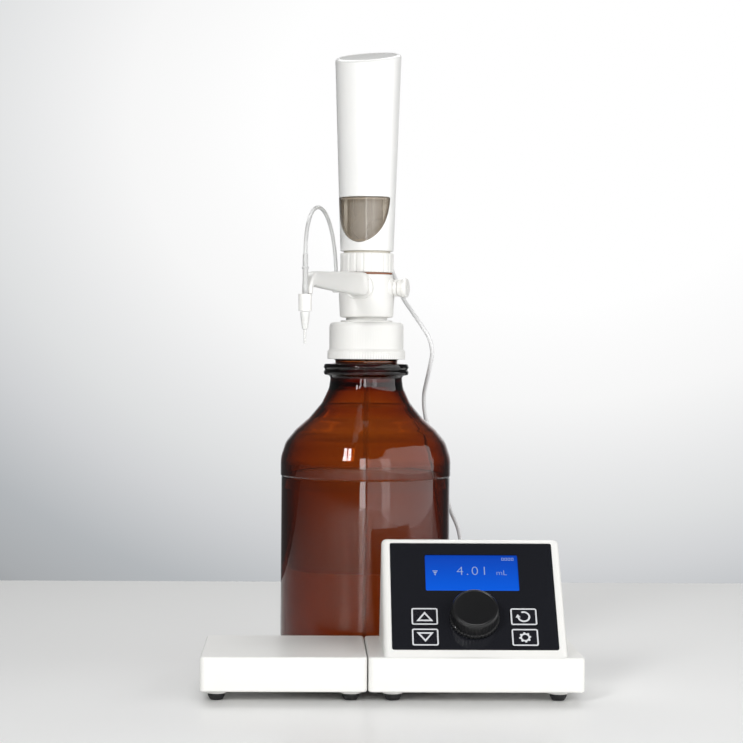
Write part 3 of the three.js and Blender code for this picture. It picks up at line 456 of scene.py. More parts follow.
# Glass is coloured by how far the light goes through it.
def glassSurface(name, finish):
    tree, shader = newLook(name, finish["slot"])
    setInputs(shader, {"Transmission Weight": finish["clear"], "IOR": finish["ior"]})
    if "depthColor" in finish:
        depths = addNode(tree, "VolumeAbsorption", {"Color": (*finish["depthColor"], 1),
                                                    "Density": finish["density"]})
        tree.links.new(depths.outputs["Volume"], tree.nodes["Material Output"].inputs["Volume"])
    values = {"Scale": finish["scale"], "Roughness": finish["rough"], "Spread": 0.02}
    texture = addNode(tree, "Group", values, grainGroup)
    dress(tree, shader, finish, texture, 0.5, finish["scale"])


thinPlastics = {
    "tubeClear": {"slot": "fluoropolymer", "color": (0.62, 0.60, 0.56), "other": (0.52, 0.50, 0.46),
                  "low": 0.10, "high": 0.20},
    "smokedWindow": {"slot": "smoked_window", "color": (0.36, 0.28, 0.19), "other": (0.27, 0.20, 0.13),
                     "low": 0.16, "high": 0.28},
    "paleRim": {"slot": "smoked_window", "color": (0.62, 0.56, 0.48), "other": (0.5, 0.44, 0.37),
                "low": 0.55, "high": 0.75},
    "clearGlass": {"slot": "clear_glass", "color": (0.86, 0.84, 0.80), "other": (0.74, 0.71, 0.66),
                   "low": 0.24, "high": 0.40},
}


# Thin clear plastic or glass that lets light into what is behind it.
def thinSurface(name, finish):
    surface(name, {**finish, "rough": 0.06, "spread": 0.04, "scale": 500, "bump": 0.001, "coat": 0.6})
    tree = looks[name].node_tree
    noise = addNoise(tree, {"Scale": 90})
    spread = addNode(tree, "MapRange", {"To Min": finish["low"], "To Max": finish["high"]})
    tree.links.new(noise.outputs["Fac"], spread.inputs["Value"])
    tree.links.new(spread.outputs["Result"], tree.nodes["Principled BSDF"].inputs["Alpha"])


# A colour that goes from one to another along an axis, between two places in metres.
def colorAlong(tree, axis, places, colors):
    split = addNode(tree, "SeparateXYZ")
    spread = addNode(tree, "MapRange", {"From Min": places[0], "From Max": places[1]})
    mixer = addNode(tree, "Mix")
    mixer.data_type = "RGBA"
    setInputs(mixer, {"A": (*colors[0], 1), "B": (*colors[1], 1)})
    tree.links.new(addNode(tree, "TexCoord").outputs["Object"], split.inputs[0])
    tree.links.new(split.outputs[axis], spread.inputs["Value"])
    tree.links.new(spread.outputs["Result"], mixer.inputs["Factor"])
    return mixer.outputs["Result"]


litScreen = {"slot": "display", "field": ((0.0, 0.095, 0.68), (0.0, 0.042, 0.40)), "power": 1.0,
             "unlit": (0.0, 0.012, 0.06), "digits": ((0.30, 0.38, 0.56), (0.30, 0.38, 0.56))}


# The lit screen brightens downwards; its characters are paler.
def screenSurfaces():
    low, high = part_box("display_module")
    for name, part in (("litScreen", "field"), ("litDigit", "digits")):
        tree, shader = newLook(name, litScreen["slot"])
        glow = colorAlong(tree, "Z", (low.z + 0.006, high.z - 0.003), litScreen[part])
        tree.links.new(glow, shader.inputs["Emission Color"])
        setInputs(shader, {"Base Color": (*litScreen["unlit"], 1), "Emission Strength": litScreen["power"],
                           "Roughness": 0.25})


for maker, chosen in ((surface, finishes), (glassSurface, glasses), (thinSurface, thinPlastics)):
    for lookName, values in chosen.items():
        maker(lookName, values)
screenSurfaces()
print("materials:", len(looks))

stand = {"corner": 3.4, "edge": 1.3, "wall": 3.0, "roof": 3.0}
plate = {"bossRadius": 6.25, "bossTop": 6.4, "bossLow": 4.0}
foot = {"radius": 5.2, "sole": 4.2, "top": 4.0}


# The lower and upper limits of a node along each axis, in mm.
def sides(node):
    low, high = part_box(node)
    return [(low[k] / mm, high[k] / mm) for k in range(3)]


def boxShell(node):
    x, y, z = sides(node)
    wall = stand["wall"]
    outer = block(x, y, z, stand["corner"], stand["edge"], 5)
    inner = block((x[0] + wall, x[1] - wall), (y[0] + wall, y[1] - wall),
                  (z[0] - 5, z[1] - stand["roof"]), 2.5)
    return carve(outer, inner)


def makePlate(name, node, owner):
    x, y, z = sides(node)
    parts = [block(x, y, (plate["bossTop"] - 0.4, z[1]), 2.5, 0.4)]
    for place in ("front_left", "front_right", "rear_left", "rear_right"):
        footNode = f"{owner}_foot_{place}"
        middle = mid(footNode) / mm
        boss = lathe([[0, plate["bossLow"]], [plate["bossRadius"], plate["bossLow"], 0.5],
                      [plate["bossRadius"], plate["bossTop"]], [0, plate["bossTop"]]], 64)
        parts.append(moved(boss, middle.x, middle.y))
        sole = lathe([[0, 0.25], [foot["sole"] - 1.6, 0.0, 0.6], [foot["sole"] - 0.4, 0, 1.6],
                      [foot["radius"], 2.6, 2.2], [foot["radius"], foot["top"] - 0.2, 0.2],
                      [0, foot["top"] - 0.2]], 56)
        piece(f"{owner}Foot_{place}", moved(sole, middle.x, middle.y), "rubber", "stand", [footNode])
    piece(name, merge(*parts), "whitePlastic", "stand", [node])


def makeBoxes():
    piece("stirrerShell", boxShell("stirrer_top_shell"), "whitePlastic", "stand", ["stirrer_top_shell"],
          weighted=True)
    makePlate("stirrerPlate", "stirrer_bottom_plate", "stirrer")
    cuts = []
    for node, grow in (("power_inlet", -1.7), ("power_rocker", 0.3)):
        x, _, z = sides(node)
        tall = 0.9 if node == "power_rocker" else -0.7
        cuts.append(block((x[0] - grow, x[1] + grow), (-20, 0), (z[0] - tall, z[1] + tall), 0))
    socket = mid("lead_socket") / mm
    bore = lathe([[0, -12], [5.5, -12], [5.5, 12], [0, 12]], 48, "Y")
    cuts.append(moved(bore, socket.x, socket.y, socket.z))
    shell = carve(boxShell("console_base_shell"), *cuts)
    piece("consoleBase", shell, "whitePlastic", "stand", ["console_base_shell"], weighted=True)
    makePlate("consolePlate", "console_bottom_plate", "console")


housing = {"wall": 3.0, "topRound": 3.0, "topFlat": 5.5, "edge": 3.2, "recessDepth": 2.0, "ledge": 1.2}
rearCover = {"half": 48.0, "low": 12.0, "above": 8.42, "depth": 2.3, "ledge": 3.0, "screwX": 42,
             "screwIn": 5, "slotStep": 6}


def makeHousing():
    x, y, z = sides("console_housing")
    tilt = math.atan2(panelUp.y, panelUp.z)
    height = z[1] - z[0]
    frontTop = y[0] + height * math.tan(tilt)
    rearTop = frontTop + housing["topFlat"]
    below = 5
    slopeBack = (y[1] - rearTop) / height
    outline = roundedPath([[y[0] - below * math.tan(tilt), z[0] - below],
                           [y[1] + below * slopeBack, z[0] - below],
                           [rearTop, z[1], housing["topRound"]], [frontTop, z[1], housing["topRound"]]],
                          closed=True, steps=6)
    outer = prism(outline, x[0], x[1], "YZ", housing["edge"], 5)
    wall = housing["wall"]
    front, back = wall / math.cos(tilt), wall / math.cos(math.atan(slopeBack))
    roof = z[1] - wall
    inner = prism([(y[0] - 2 * below * math.tan(tilt) + front, z[0] - 2 * below),
                   (y[1] + 2 * below * slopeBack - back, z[0] - 2 * below),
                   (rearTop + wall * slopeBack - back, roof),
                   (frontTop - wall * math.tan(tilt) + front, roof)],
                  x[0] + wall, x[1] - wall, "YZ")
    under = block((x[0] - 20, x[1] + 20), (y[0] - 30, y[1] + 30), (z[0] - 40, z[0]))
    half, length = panel["width"] / 2 + 0.3, panel["length"]
    recess = moved(block((-half, half), (-0.15, length + 0.45), (-housing["recessDepth"], 5), 1.6, 0),
                   matrix=panelPlace)
    ledge = housing["ledge"]
    opening = moved(block((-half + ledge, half - ledge), (ledge, length - ledge), (-12, 2), 1.0),
                    matrix=panelPlace)
    rearTurn = math.atan(slopeBack)
    rearPlace = (Matrix.Translation((mid("console_housing").x, y[1] * mm, z[0] * mm))
                 @ Matrix.Rotation(rearTurn, 4, "X") @ Matrix(((-1, 0, 0, 0), (0, 0, 1, 0), (0, 1, 0, 0),
                                                               (0, 0, 0, 1))))
    low, high, half = rearCover["low"], height / math.cos(rearTurn) - rearCover["above"], rearCover["half"]
    coverRecess = block((-half - 0.3, half + 0.3), (low - 0.3, high + 0.3), (-rearCover["depth"], 6), 2.2)
    coverRecess = moved(coverRecess, matrix=rearPlace)
    ledge = rearCover["ledge"]
    coverOpening = moved(block((-half + ledge, half - ledge), (low + ledge, high - ledge), (-12, 2), 1.5),
                         matrix=rearPlace)
    shell = carve(outer, inner, under, recess, opening, coverRecess, coverOpening)
    piece("consoleHousing", shell, "whitePlastic", "stand", ["console_housing"], weighted=True)

    slots = [moved(block((-20, 20), (-1, 1), (-10, 10), 0.95),
                   y=(low + high) / 2 + rearCover["slotStep"] * k) for k in range(-2, 3)]
    sheet = carve(block((-half, half), (low, high), (-2, 0), 2.0, 0.4), *slots)
    screwX, screwIn = rearCover["screwX"], rearCover["screwIn"]
    screws = [moved(lathe([[0, 0.0], [1.6, 0.0], [2.6, 0.7, 0.3], [0, 0.9]], 32), px, py)
              for px in (-screwX, screwX) for py in (low + screwIn, high - screwIn)]
    piece("consoleRearCover", sheet, "whitePlastic", "stand", ["console_rear_cover"], place=rearPlace,
          weighted=True)
    piece("rearCoverScrews", merge(*screws), "steel", "stand", place=rearPlace)


screen = {"width": 57.0, "height": 26.9, "s": 57.4}
key = {"width": 16.5, "height": 12.7, "corner": 1.3, "proud": 0.4, "columnX": 30.2, "rows": (24.05, 8.9),
       "line": 0.9, "lineLift": 0.06}
knob = {"skirt": 15.3, "face": 13.9, "height": 12.0, "ribs": 40, "ribDepth": 0.6, "markAt": 215}
icon = {"triangleWide": 10.4, "triangleHigh": 7.0, "stroke": 1.1, "ring": 3.4, "gearRing": 2.95,
        "tooth": 0.75, "teeth": 8}


# A flat frame between two outlines that have the same number of points.
def outlineRing(outer, inner, low, high):
    bm = bmesh.new()
    loops = [[bm.verts.new((p[0] * mm, p[1] * mm, low * mm)) for p in line] for line in (outer, inner)]
    edges = [[bm.edges.new((loop[i - 1], loop[i])) for i in range(len(loop))] for loop in loops]
    made = bmesh.ops.bridge_loops(bm, edges=edges[0] + edges[1])
    lifted = bmesh.ops.extrude_face_region(bm, geom=made["faces"])
    verts = [g for g in lifted["geom"] if isinstance(g, bmesh.types.BMVert)]
    bmesh.ops.translate(bm, vec=(0, 0, (high - low) * mm), verts=verts)
    return bm


def rectangle(width, height, corner):
    x, y = width / 2, height / 2
    return roundedPath([[-x, -y, corner], [x, -y, corner], [x, y, corner], [-x, y, corner]], True, 6)


def triangleIcon(up):
    sign = 1 if up else -1
    wide, high, stroke = icon["triangleWide"] / 2, icon["triangleHigh"] / 2, icon["stroke"]

    def shape(inset):
        side = inset * 1.9
        base, tip = sign * (-high + inset), sign * (high - inset * 1.65)
        return roundedPath([[-wide + side, base, 0.15], [wide - side, base, 0.15], [0, tip, 0.15]], True, 3)

    return outlineRing(shape(0), shape(stroke), 0, key["lineLift"])


def arcBand(radius, stroke, start, end, steps=30):
    angles = [math.radians(start + (end - start) * i / steps) for i in range(steps + 1)]
    outer = [((radius + stroke / 2) * math.cos(a), (radius + stroke / 2) * math.sin(a)) for a in angles]
    inner = [((radius - stroke / 2) * math.cos(a), (radius - stroke / 2) * math.sin(a)) for a in angles]
    return prism(outer + inner[::-1], 0, key["lineLift"])


def returnIcon():
    head = prism([(-5.0, -0.6), (-1.9, -0.4), (-3.7, 1.9)], 0, key["lineLift"])
    return merge(arcBand(icon["ring"], icon["stroke"], 112, -176), head)


def gearIcon():
    count, ring = icon["teeth"] * 6, icon["gearRing"]

    def shape(base, tooth):
        out = []
        for i in range(count):
            angle = math.tau * i / count
            radius = base + tooth * (1 if i % 6 < 3 else 0)
            out.append((radius * math.cos(angle), radius * math.sin(angle)))
        return out

    inner = shape(ring - icon["stroke"] + 0.1, 0.0)
    return outlineRing(shape(ring, icon["tooth"]), inner, 0, key["lineLift"])


def makeKeys():
    icons = {"key_up": lambda: triangleIcon(True), "key_down": lambda: triangleIcon(False),
             "key_return": returnIcon, "key_settings": gearIcon}
    places = {"key_up": (-1, 0), "key_down": (-1, 1), "key_return": (1, 0), "key_settings": (1, 1)}
    for name, (side, row) in places.items():
        x, y = side * key["columnX"], key["rows"][row]
        body = name.replace("key_", "") + "_key"
        w, h = key["width"] / 2, key["height"] / 2
        cap = merge(block((-w, w), (-h, h), (-2.2, key["proud"]), key["corner"], 0.25),
                    block((-w - 0.9, w + 0.9), (-h - 0.9, h + 0.9), (-3.1, -2.25), key["corner"], 0.1),
                    lathe([[0, -5.5], [2, -5.5, 0.3], [2, -3.1], [0, -3.1]], 32))
        title = name.replace("key_", "").capitalize()
        panelPiece("key" + title, moved(cap, x, y), "keyFace", body, [name])
        line = key["line"]
        edge = outlineRing(rectangle(key["width"] - 0.5, key["height"] - 0.5, key["corner"]),
                           rectangle(key["width"] - 0.5 - 2 * line, key["height"] - 0.5 - 2 * line, 0.5),
                           0, key["lineLift"])
        panelPiece("frame" + title, moved(edge, x, y, key["proud"]), "icon", body)
        panelPiece("icon" + title, moved(icons[name](), x, y, key["proud"]), "icon", body)


def textMesh(words, size, spacing=1.0, thinner=0.0):
    data = bpy.data.curves.new("words", "FONT")
    data.space_character = spacing
    data.body = words
    data.size = size * mm
    data.extrude = 0.03 * mm
    data.offset = -thinner * mm
    obj = bpy.data.objects.new("words", data)
    scene.collection.objects.link(obj)
    bpy.context.view_layer.update()
    mesh = bpy.data.meshes.new_from_object(obj.evaluated_get(bpy.context.evaluated_depsgraph_get()))
    bm = bmesh.new()
    bm.from_mesh(mesh)
    bpy.data.objects.remove(obj)
    bpy.data.meshes.remove(mesh)
    return bm


def makeScreen():
    w, h, s = screen["width"] / 2, screen["height"] / 2, screen["s"]
    body = merge(block((-w, w), (s - h, s + h), (-3, -0.45), 0.6, 0.1),
                 block((-w - 4.5, w + 4.5), (s - h - 4.5, s + h + 4.5), (-6.1, -2.2), 1.0, 0.2))
    panelPiece("screenBody", body, "litScreen", "stand", ["display_module"])
    marks = [moved(textMesh("4.01", 9.4, 1.26, 0.16), -9.6, s - 1.6),
             moved(textMesh("mL", 5.4, 1.0, 0.08), 15.0, s - 1.6)]
    marks += [moved(outlineRing(rectangle(1.5, 2.0, 0.1), rectangle(0.9, 1.4, 0.05), 0, 0.03),
                    19.6 + 2.0 * k, s + h - 2.9) for k in range(4)]
    marks += [moved(block((-1.6, 1.6), (1.2, 1.7), (0, 0.03)), -22.7, s),
              moved(prism([(-1.3, 0.8), (1.3, 0.8), (0.5, -0.5), (-0.5, -0.5)], 0, 0.03), -22.7, s),
              moved(prism([(-0.6, -0.9), (0.6, -0.9), (0, -2.2)], 0, 0.03), -22.7, s)]
    panelPiece("screenMarks", moved(merge(*marks), z=-0.44), "litDigit", "stand")


def makeKnob():
    top, face, skirt = knob["height"], knob["face"], knob["skirt"]
    profile = [[0, top - 2.6], [3.3, top - 2.6], [3.3, 0.6, 0.2], [skirt, 0.6, 0.4], [skirt, 2.6, 0.5],
               [face + 0.75, 3.4, 0.4], [face + 0.35, top - 1.3, 0.3], [face - 0.35, top - 0.2, 0.4],
               [face - 1.1, top, 0.3], [face - 1.5, top - 0.2, 0.2], [0, top - 0.25]]
    bm = lathe(profile, knob["ribs"] * 6, closed=False)

    def grooveDepth(vert, radius, level, turn):
        if radius > face - 0.2 and level < top - 1.4:
            wave = 0.5 + 0.5 * math.cos(math.tau * (turn / math.tau * knob["ribs"]))
            return knob["ribDepth"] * (1 - wave) ** 2

    drawIn(bm, grooveDepth)
    panelPiece("knob", moved(bm, y=panel["knobS"]), "knobBlack", "knob", ["control_knob"], sharp=50)
    angle = math.radians(knob["markAt"])
    dot = lathe([[0, 0], [0.45, 0, 0.1], [0.45, 0.5, 0.2], [0, 0.55]], 24)
    reach = skirt - 0.9
    moved(dot, reach * math.cos(angle), panel["knobS"] + reach * math.sin(angle), 3.0)
    panelPiece("knobMark", dot, "icon", "knob")


def makePanel():
    half = panel["width"] / 2
    tools = [moved(block((-8.55, 8.55), (-6.65, 6.65), (-8, 8), key["corner"] + 0.2),
                   side * key["columnX"], row) for side in (-1, 1) for row in key["rows"]]
    tools.append(moved(lathe([[0, -8], [4.8, -8], [4.8, 8], [0, 8]], 48), y=panel["knobS"]))
    w, h = screen["width"] / 2 + 0.3, screen["height"] / 2 + 0.3
    tools.append(block((-w, w), (screen["s"] - h, screen["s"] + h), (-8, 8), 0.8))
    whole = block((-half, half), (0.15, panel["length"] + 0.15), (-panel["thickness"], 0), 0.6, 0.2)
    sheet = carve(whole, *tools)
    panelPiece("panelFace", sheet, "panelGloss", "stand", ["panel_overlay"], weighted=True)
    makeScreen()
    makeKeys()
    makeKnob()


def makeRearFittings():
    x, y, z = sides("power_inlet")
    rearFace = sides("console_base_shell")[1][1]
    flange = block((x[0], x[1]), (rearFace + 0.3, y[1]), (z[0], z[1]))
    core = block((x[0] + 2, x[1] - 2), (y[0], rearFace + 0.5), (z[0] + 1, z[1] - 1))
    mouth = block((x[0] + 4, x[1] - 4), (y[0] + 2, y[1] + 5), (z[0] + 3, z[1] - 3))
    inlet = carve(carve(flange, core, operation="UNION"), mouth)
    middle = mid("power_inlet") / mm
    pinLine = [[0, y[0] + 1.5], [1.2, y[0] + 1.5], [1.2, rearFace - 0.5, 0.5], [0, rearFace]]
    pins = [moved(lathe(pinLine, 24, "Y"), middle.x + side * 4, 0, middle.z) for side in (-1, 1)]
    piece("powerInlet", inlet, "socketBlack", "stand", ["power_inlet"], soften=0.3)
    piece("powerPins", merge(*pins), "steel", "stand")
    x, y, z = sides("lead_socket")
    middle = mid("lead_socket") / mm
    ring = lathe([[3.6, y[0]], [5.2, y[0]], [5.2, rearFace + 0.3], [7.2, rearFace + 0.3], [7.2, y[1], 0.5],
                  [3.6, y[1], 0.4]], 64, "Y")
    piece("leadSocket", moved(ring, middle.x, 0, middle.z), "socketBlack", "stand", ["lead_socket"])
    pivot = Vector(jointBy["rocker_tilt"]["pos_m"]) / mm
    side = roundedPath([[-3.5, -3.6], [2.3, -4.2, 0.4], [1.7, 0, 3.0], [3.0, 4.2, 0.4], [-3.5, 3.6]],
                       True, 5)
    rocker = moved(prism(side, -6.5, 6.5, "YZ", 0.4, 3), matrix=Matrix.Rotation(math.radians(-5.5), 4, "X"))
    piece("powerRocker", moved(rocker, pivot.x, pivot.y, pivot.z), "socketBlack", "rocker", ["power_rocker"])


glass = {"radius": 57.0, "neck": 18.3, "mouth": 220.7, "seamAt": -101.5, "seamHalf": 2.4,
         "seamHigh": 0.28}
cap = {"knurls": 90, "knurlDepth": 0.32, "ribDepth": 0.07}


def makeBottle():
    r, neck, mouth = glass["radius"], glass["neck"], glass["mouth"]
    outside = [[0, 2.6], [r - 19, 2.2, 3], [r - 14, 0, 2], [r - 8, 0.0], [r - 1.2, 2.3, 7], [r, 16],
               [r - 0.5, 18, 2], [r - 0.5, 125.2, 0.3], [r - 0.8, 125.8, 0.3], [r, 126.6, 0.8],
               [r, 138.5, 20], [r - 3.4, 149, 14],
               [r - 10.4, 157.5, 18], [r - 19, 165, 20], [29.6, 175, 14], [24.9, 185, 14],
               [23.9, 193.0, 2.0],
               [28.0, 193.8, 1.0], [28.7, 195.6, 1.2], [27.7, 197.4, 0.5], [28.7, 198.8, 1.0],
               [28.0, 201.1, 1.0], [neck + 2.5, 201.6, 0.5], [neck + 2.5, 203.4, 0.8],
               [neck + 4.0, 204.6, 0.8], [neck + 4.0, 206.4, 0.8],
               [neck + 2.9, 209.5, 0.6], [neck + 4.0, 211, 0.8], [neck + 4.0, 213.5, 0.8],
               [neck + 2.9, 215, 0.8], [neck + 2.9, mouth, 0.9]]
    inside = [[neck, mouth, 0.9], [neck, 189, 8], [23.0, 180.4, 14], [28.4, 170.8, 16], [36.6, 162.4, 18],
              [r - 12.2, 155.4, 14], [r - 6.4, 147.6, 12], [r - 3.2, 137, 18], [r - 4.2, 118, 30],
              [r - 4.2, 14, 2], [r - 4.4, 6.4, 7], [r - 14, 4.6, 3], [0, 6]]
    bm = lathe(outside + inside, 240, closed=False, arc=7)
    seam = math.radians(glass["seamAt"])
    halfSeam = math.radians(glass["seamHalf"])

    def seamDepth(vert, radius, level, turn):
        away = abs(math.remainder(turn - seam, math.pi))
        outer = vert.normal.x * vert.co.x + vert.normal.y * vert.co.y > 0
        if outer and away < halfSeam and radius > 20 and 2 < level < 200:
            return -glass["seamHigh"] * (1 - away / halfSeam) ** 2

    drawIn(bm, seamDepth)
    piece("amberBottle", bm, "amberGlass", "stand", ["bottle"], place=bottlePlace, sharp=60)
    tube = lathe([[1.1, 12.0], [1.9, 12.0, 0.2], [1.9, 229.5], [1.1, 229.5]], 32)
    piece("dipTube", tube, "tubeClear", "head", ["suction_tube"], place=bottlePlace)


def makeCap():
    ribs = cap["knurls"]
    profile = [[22.8, 204.3, 0.3], [26.1, 204.3, 0.5], [26.1, 209.4, 0.7], [24.9, 211.0, 0.8],
               [24.9, 229, 3.0], [17.4, 229, 0.3], [17.4, 230.2, 0.4], [14.3, 230.2, 0.3],
               [14.3, 225.3], [22.8, 225.3, 0.6]]
    bm = lathe(profile, ribs * 4)
    tall = [True]
    while tall:
        tall = [e for e in bm.edges if e.calc_length() > 3.2 * mm
                and abs(e.verts[0].co.z - e.verts[1].co.z) > 3 * mm]
        bmesh.ops.subdivide_edges(bm, edges=tall, cuts=1, use_grid_fill=False)

    def knurlDepth(vert, radius, level, turn):
        wave = 0.5 - 0.5 * math.cos(math.tau * (turn / math.tau * ribs))
        if radius > 25.2 and level < 210.6:
            return cap["knurlDepth"] * wave
        if radius > 24.4 and 212 < level < 225:
            return cap["ribDepth"] * wave

    drawIn(bm, knurlDepth)
    piece("bottleCap", bm, "whitePlastic", "cap", ["bottle_cap"], place=bottlePlace, sharp=50)


arm = {"reach": 130.0, "root": 19.1}
blockAxisZ = 252
nozzle = {"low": 234.4, "top": 245.1, "radius": 4.15}
hose = {"radius": 1.2, "handle": 46.0, "riser": 57.0}


def makeBlock():
    body = lathe([[0, 221.0], [19.5, 221.0, 0.3], [19.5, 223.5, 0.3], [13.8, 223.5], [13.8, 232.1],
                  [16.2, 232.1, 0.3], [17.9, 232.6, 1.6], [18.3, 240.0, 8], [18.7, 247, 16], [18.0, 256, 8],
                  [17.4, 260.9, 0.6], [15.2, 260.9], [15.2, 268.0], [13.35, 268.0], [13.35, 258.7],
                  [0, 258.7]], 128, closed=False)
    stub = moved(lathe([[0, 10], [4.9, 10], [4.9, 19.4, 1.0], [5.6, 20.0, 0.4], [5.6, 22.0, 0.4], [0, 22.0]],
                       64, "X"), z=blockAxisZ)
    collar = lathe([[0, 10], [7.2, 10], [7.2, 17.6], [5.6, 18.9, 1.2], [0, 18.9]], 64, "X")
    collar = moved(collar, z=blockAxisZ)
    front = roundedPath([[-10.5, 244.4, 7], [10.5, 244.4, 7], [8.5, 260.6, 7], [-8.5, 260.6, 7]], True, 8)
    saddle = prism(front, 10, 18.9, "XZ", 0.6, 3)
    whole = carve(body, stub, collar, saddle, operation="UNION")
    bore = moved(lathe([[0, 12], [3, 12], [3, 24], [0, 24]], 32, "X"), z=blockAxisZ)
    headPiece("valveBlock", carve(whole, bore), "whitePlastic", ["valve_block"], sharp=40, weighted=True)
    vent = lathe([[0, 22.3], [5.7, 22.3, 0.3], [5.9, 25.2, 0.3], [6.6, 25.9, 0.4], [6.6, 27.9, 0.6],
                  [5.2, 28.6, 0.4], [1.1, 28.35, 0.2], [0.9, 27.9], [0, 27.9]], 72, "X")
    headPiece("ventCap", moved(vent, z=blockAxisZ), "whitePlastic", ["vent_cap"], "vent")
    seal = lathe([[15.4, 261.15], [16.9, 261.15, 0.3], [16.9, 262.05, 0.3], [15.4, 262.05]], 96)
    headPiece("couplingGasket", seal, "gasket")


# Rounded sections, each with a point, a half width and a half height in mm, joined into one limb.
def loft(stations, sides=40, square=0.55):
    bm = bmesh.new()
    rings = []
    across = Vector((1, 0, 0))
    for i, (point, wide, high) in enumerate(stations):
        ahead = (stations[min(i + 1, len(stations) - 1)][0] - stations[max(i - 1, 0)][0]).normalized()
        turn = Matrix((across, ahead.cross(across), ahead)).transposed()
        made = bmesh.ops.create_circle(bm, cap_ends=False, radius=1, segments=sides)
        for vert in made["verts"]:
            x, y = vert.co.x, vert.co.y
            local = Vector((math.copysign(abs(x) ** square * wide, x),
                            math.copysign(abs(y) ** square * high, y), 0))
            vert.co = (point + turn @ local) * mm
        rings.append(list({e for v in made["verts"] for e in v.link_edges}))
    for a, b in zip(rings, rings[1:]):
        bmesh.ops.bridge_loops(bm, edges=a + b)
    bmesh.ops.holes_fill(bm, edges=rings[0] + rings[-1])
    return bm


def makeArm():
    root, reach = arm["root"], arm["reach"]
    middle = [(-root, 254.3, 7.8), (-root - 2.5, 254.3, 7.8), (-root - 6, 254.3, 7.7),
              (-root - 12, 254.4, 7.4), (-60, 254.5, 6.6), (-90, 254.6, 5.6),
              (-reach + 18, 254.8, 4.7), (-reach + 11, 254.2, 3.8),
              (-reach + 6.8, 252.2, 2.8), (-reach + 4.6, 249.3, 2.1), (-reach + 4.0, 245.4, 1.9)]
    widths = [7.2, 6.8, 5.4, 4.4, 4.0, 4.0, 4.0, 3.9, 3.6, 3.3, 3.2]
    line = smoothRoute([(w, y, z) for w, (y, z, h) in zip(widths, middle)], 6)
    highs = smoothRoute([(h, y, z) for y, z, h in middle], 6)
    stations = [(Vector((0, p.y, p.z)), p.x, q.x) for p, q in zip(line, highs)]
    headPiece("nozzleArm", loft(stations), "whitePlastic", ["nozzle_arm"], sharp=50)
    low, top, radius = nozzle["low"], nozzle["top"], nozzle["radius"]
    collar = lathe([[2.0, low, 0.1], [radius - 0.1, low, 0.5], [radius, top, 0.5], [2.0, top, 0.2]], 64)
    headPiece("nozzleCollar", moved(collar, y=-reach), "whitePlastic", ["nozzle_collar"])
    tip = lathe([[0.45, low - 0.3], [2.9, low - 0.3, 0.2], [2.85, low - 3.0, 1.0], [1.85, 223.7, 0.4],
                 [0.95, 222.8, 0.4], [0.75, 214.3, 0.1], [0.45, 214.3]], 48)
    headPiece("nozzleTip", moved(tip, y=-reach), "softWhite", ["nozzle_tip"])
    sleeve = lathe([[1.0, 236], [1.65, 236], [1.65, 260.2, 0.2], [2.15, 260.5, 0.2], [2.15, 261.6, 0.2],
                    [1.65, 261.9, 0.2], [1.62, 269.6, 0.2], [1.0, 269.6]], 40)
    headPiece("tubeSleeve", moved(sleeve, y=-reach), "hoseClear", ["tube_sleeve"])
    elbowX = -21.6
    barb = lathe([[0, 249], [2.6, 249, 0.8], [2.6, 254.2, 0.4], [1.9, 255.0, 0.2], [0, 255.0]], 40)
    elbow = merge(moved(barb, x=elbowX),
                  moved(lathe([[0, elbowX], [2.2, elbowX], [2.2, elbowX + 2.5], [1.0, elbowX + 2.5],
                               [1.0, elbowX + 5], [0, elbowX + 5]], 40, "X"), z=blockAxisZ))
    headPiece("tubeElbow", elbow, "softWhite", ["tube_elbow"])
    start, end = Vector((elbowX, 0, 255.3)), Vector((0, -reach, 269.9))
    rise, fall = Vector((0, 0, hose["riser"])), Vector((0, 0, hose["handle"]))
    points = bezier(start, start + rise, end + fall, end, 72)
    headPiece("dischargeTube", sweep(points, hose["radius"], 20), "hoseClear", ["discharge_tube"])


def bezier(a, b, c, d, steps):
    out = []
    for i in range(steps + 1):
        t = i / steps
        out.append(a * (1 - t) ** 3 + b * 3 * t * (1 - t) ** 2 + c * 3 * t * t * (1 - t) + d * t ** 3)
    return out


# A round tube of a radius in mm along points in mm, its ends closed.
def sweep(points, radius, sides):
    bm = bmesh.new()
    forward = (points[1] - points[0]).normalized()
    turn = forward.to_track_quat("Z", "X").to_matrix()
    rings = []
    for i, point in enumerate(points):
        ahead = points[min(i + 1, len(points) - 1)] - points[max(i - 1, 0)]
        turn = forward.rotation_difference(ahead.normalized()).to_matrix() @ turn
        forward = ahead.normalized()
        made = bmesh.ops.create_circle(bm, cap_ends=False, radius=radius * mm, segments=sides,
                                       matrix=Matrix.Translation(point * mm) @ turn.to_4x4())
        rings.append(list({e for v in made["verts"] for e in v.link_edges}))
    for a, b in zip(rings, rings[1:]):
        bmesh.ops.bridge_loops(bm, edges=a + b)
    bmesh.ops.holes_fill(bm, edges=rings[0] + rings[-1])
    return bm


head = {"glandZ": 281, "low": 276.6, "radius": 17.9, "flare": 0.0336, "top": 407.25, "slant": 14.2,
        "wall": 2.0, "roof": 3.6, "rim": 2.2, "inset": 19.3, "insetDepth": 1.4}
pane = {"top": 312.5, "tip": 282.0, "angle": 69.4, "fullness": 0.56, "thickness": 1.4, "rim": 1.0}


def headRadius(z):
    return head["radius"] + head["flare"] * (z - head["low"])


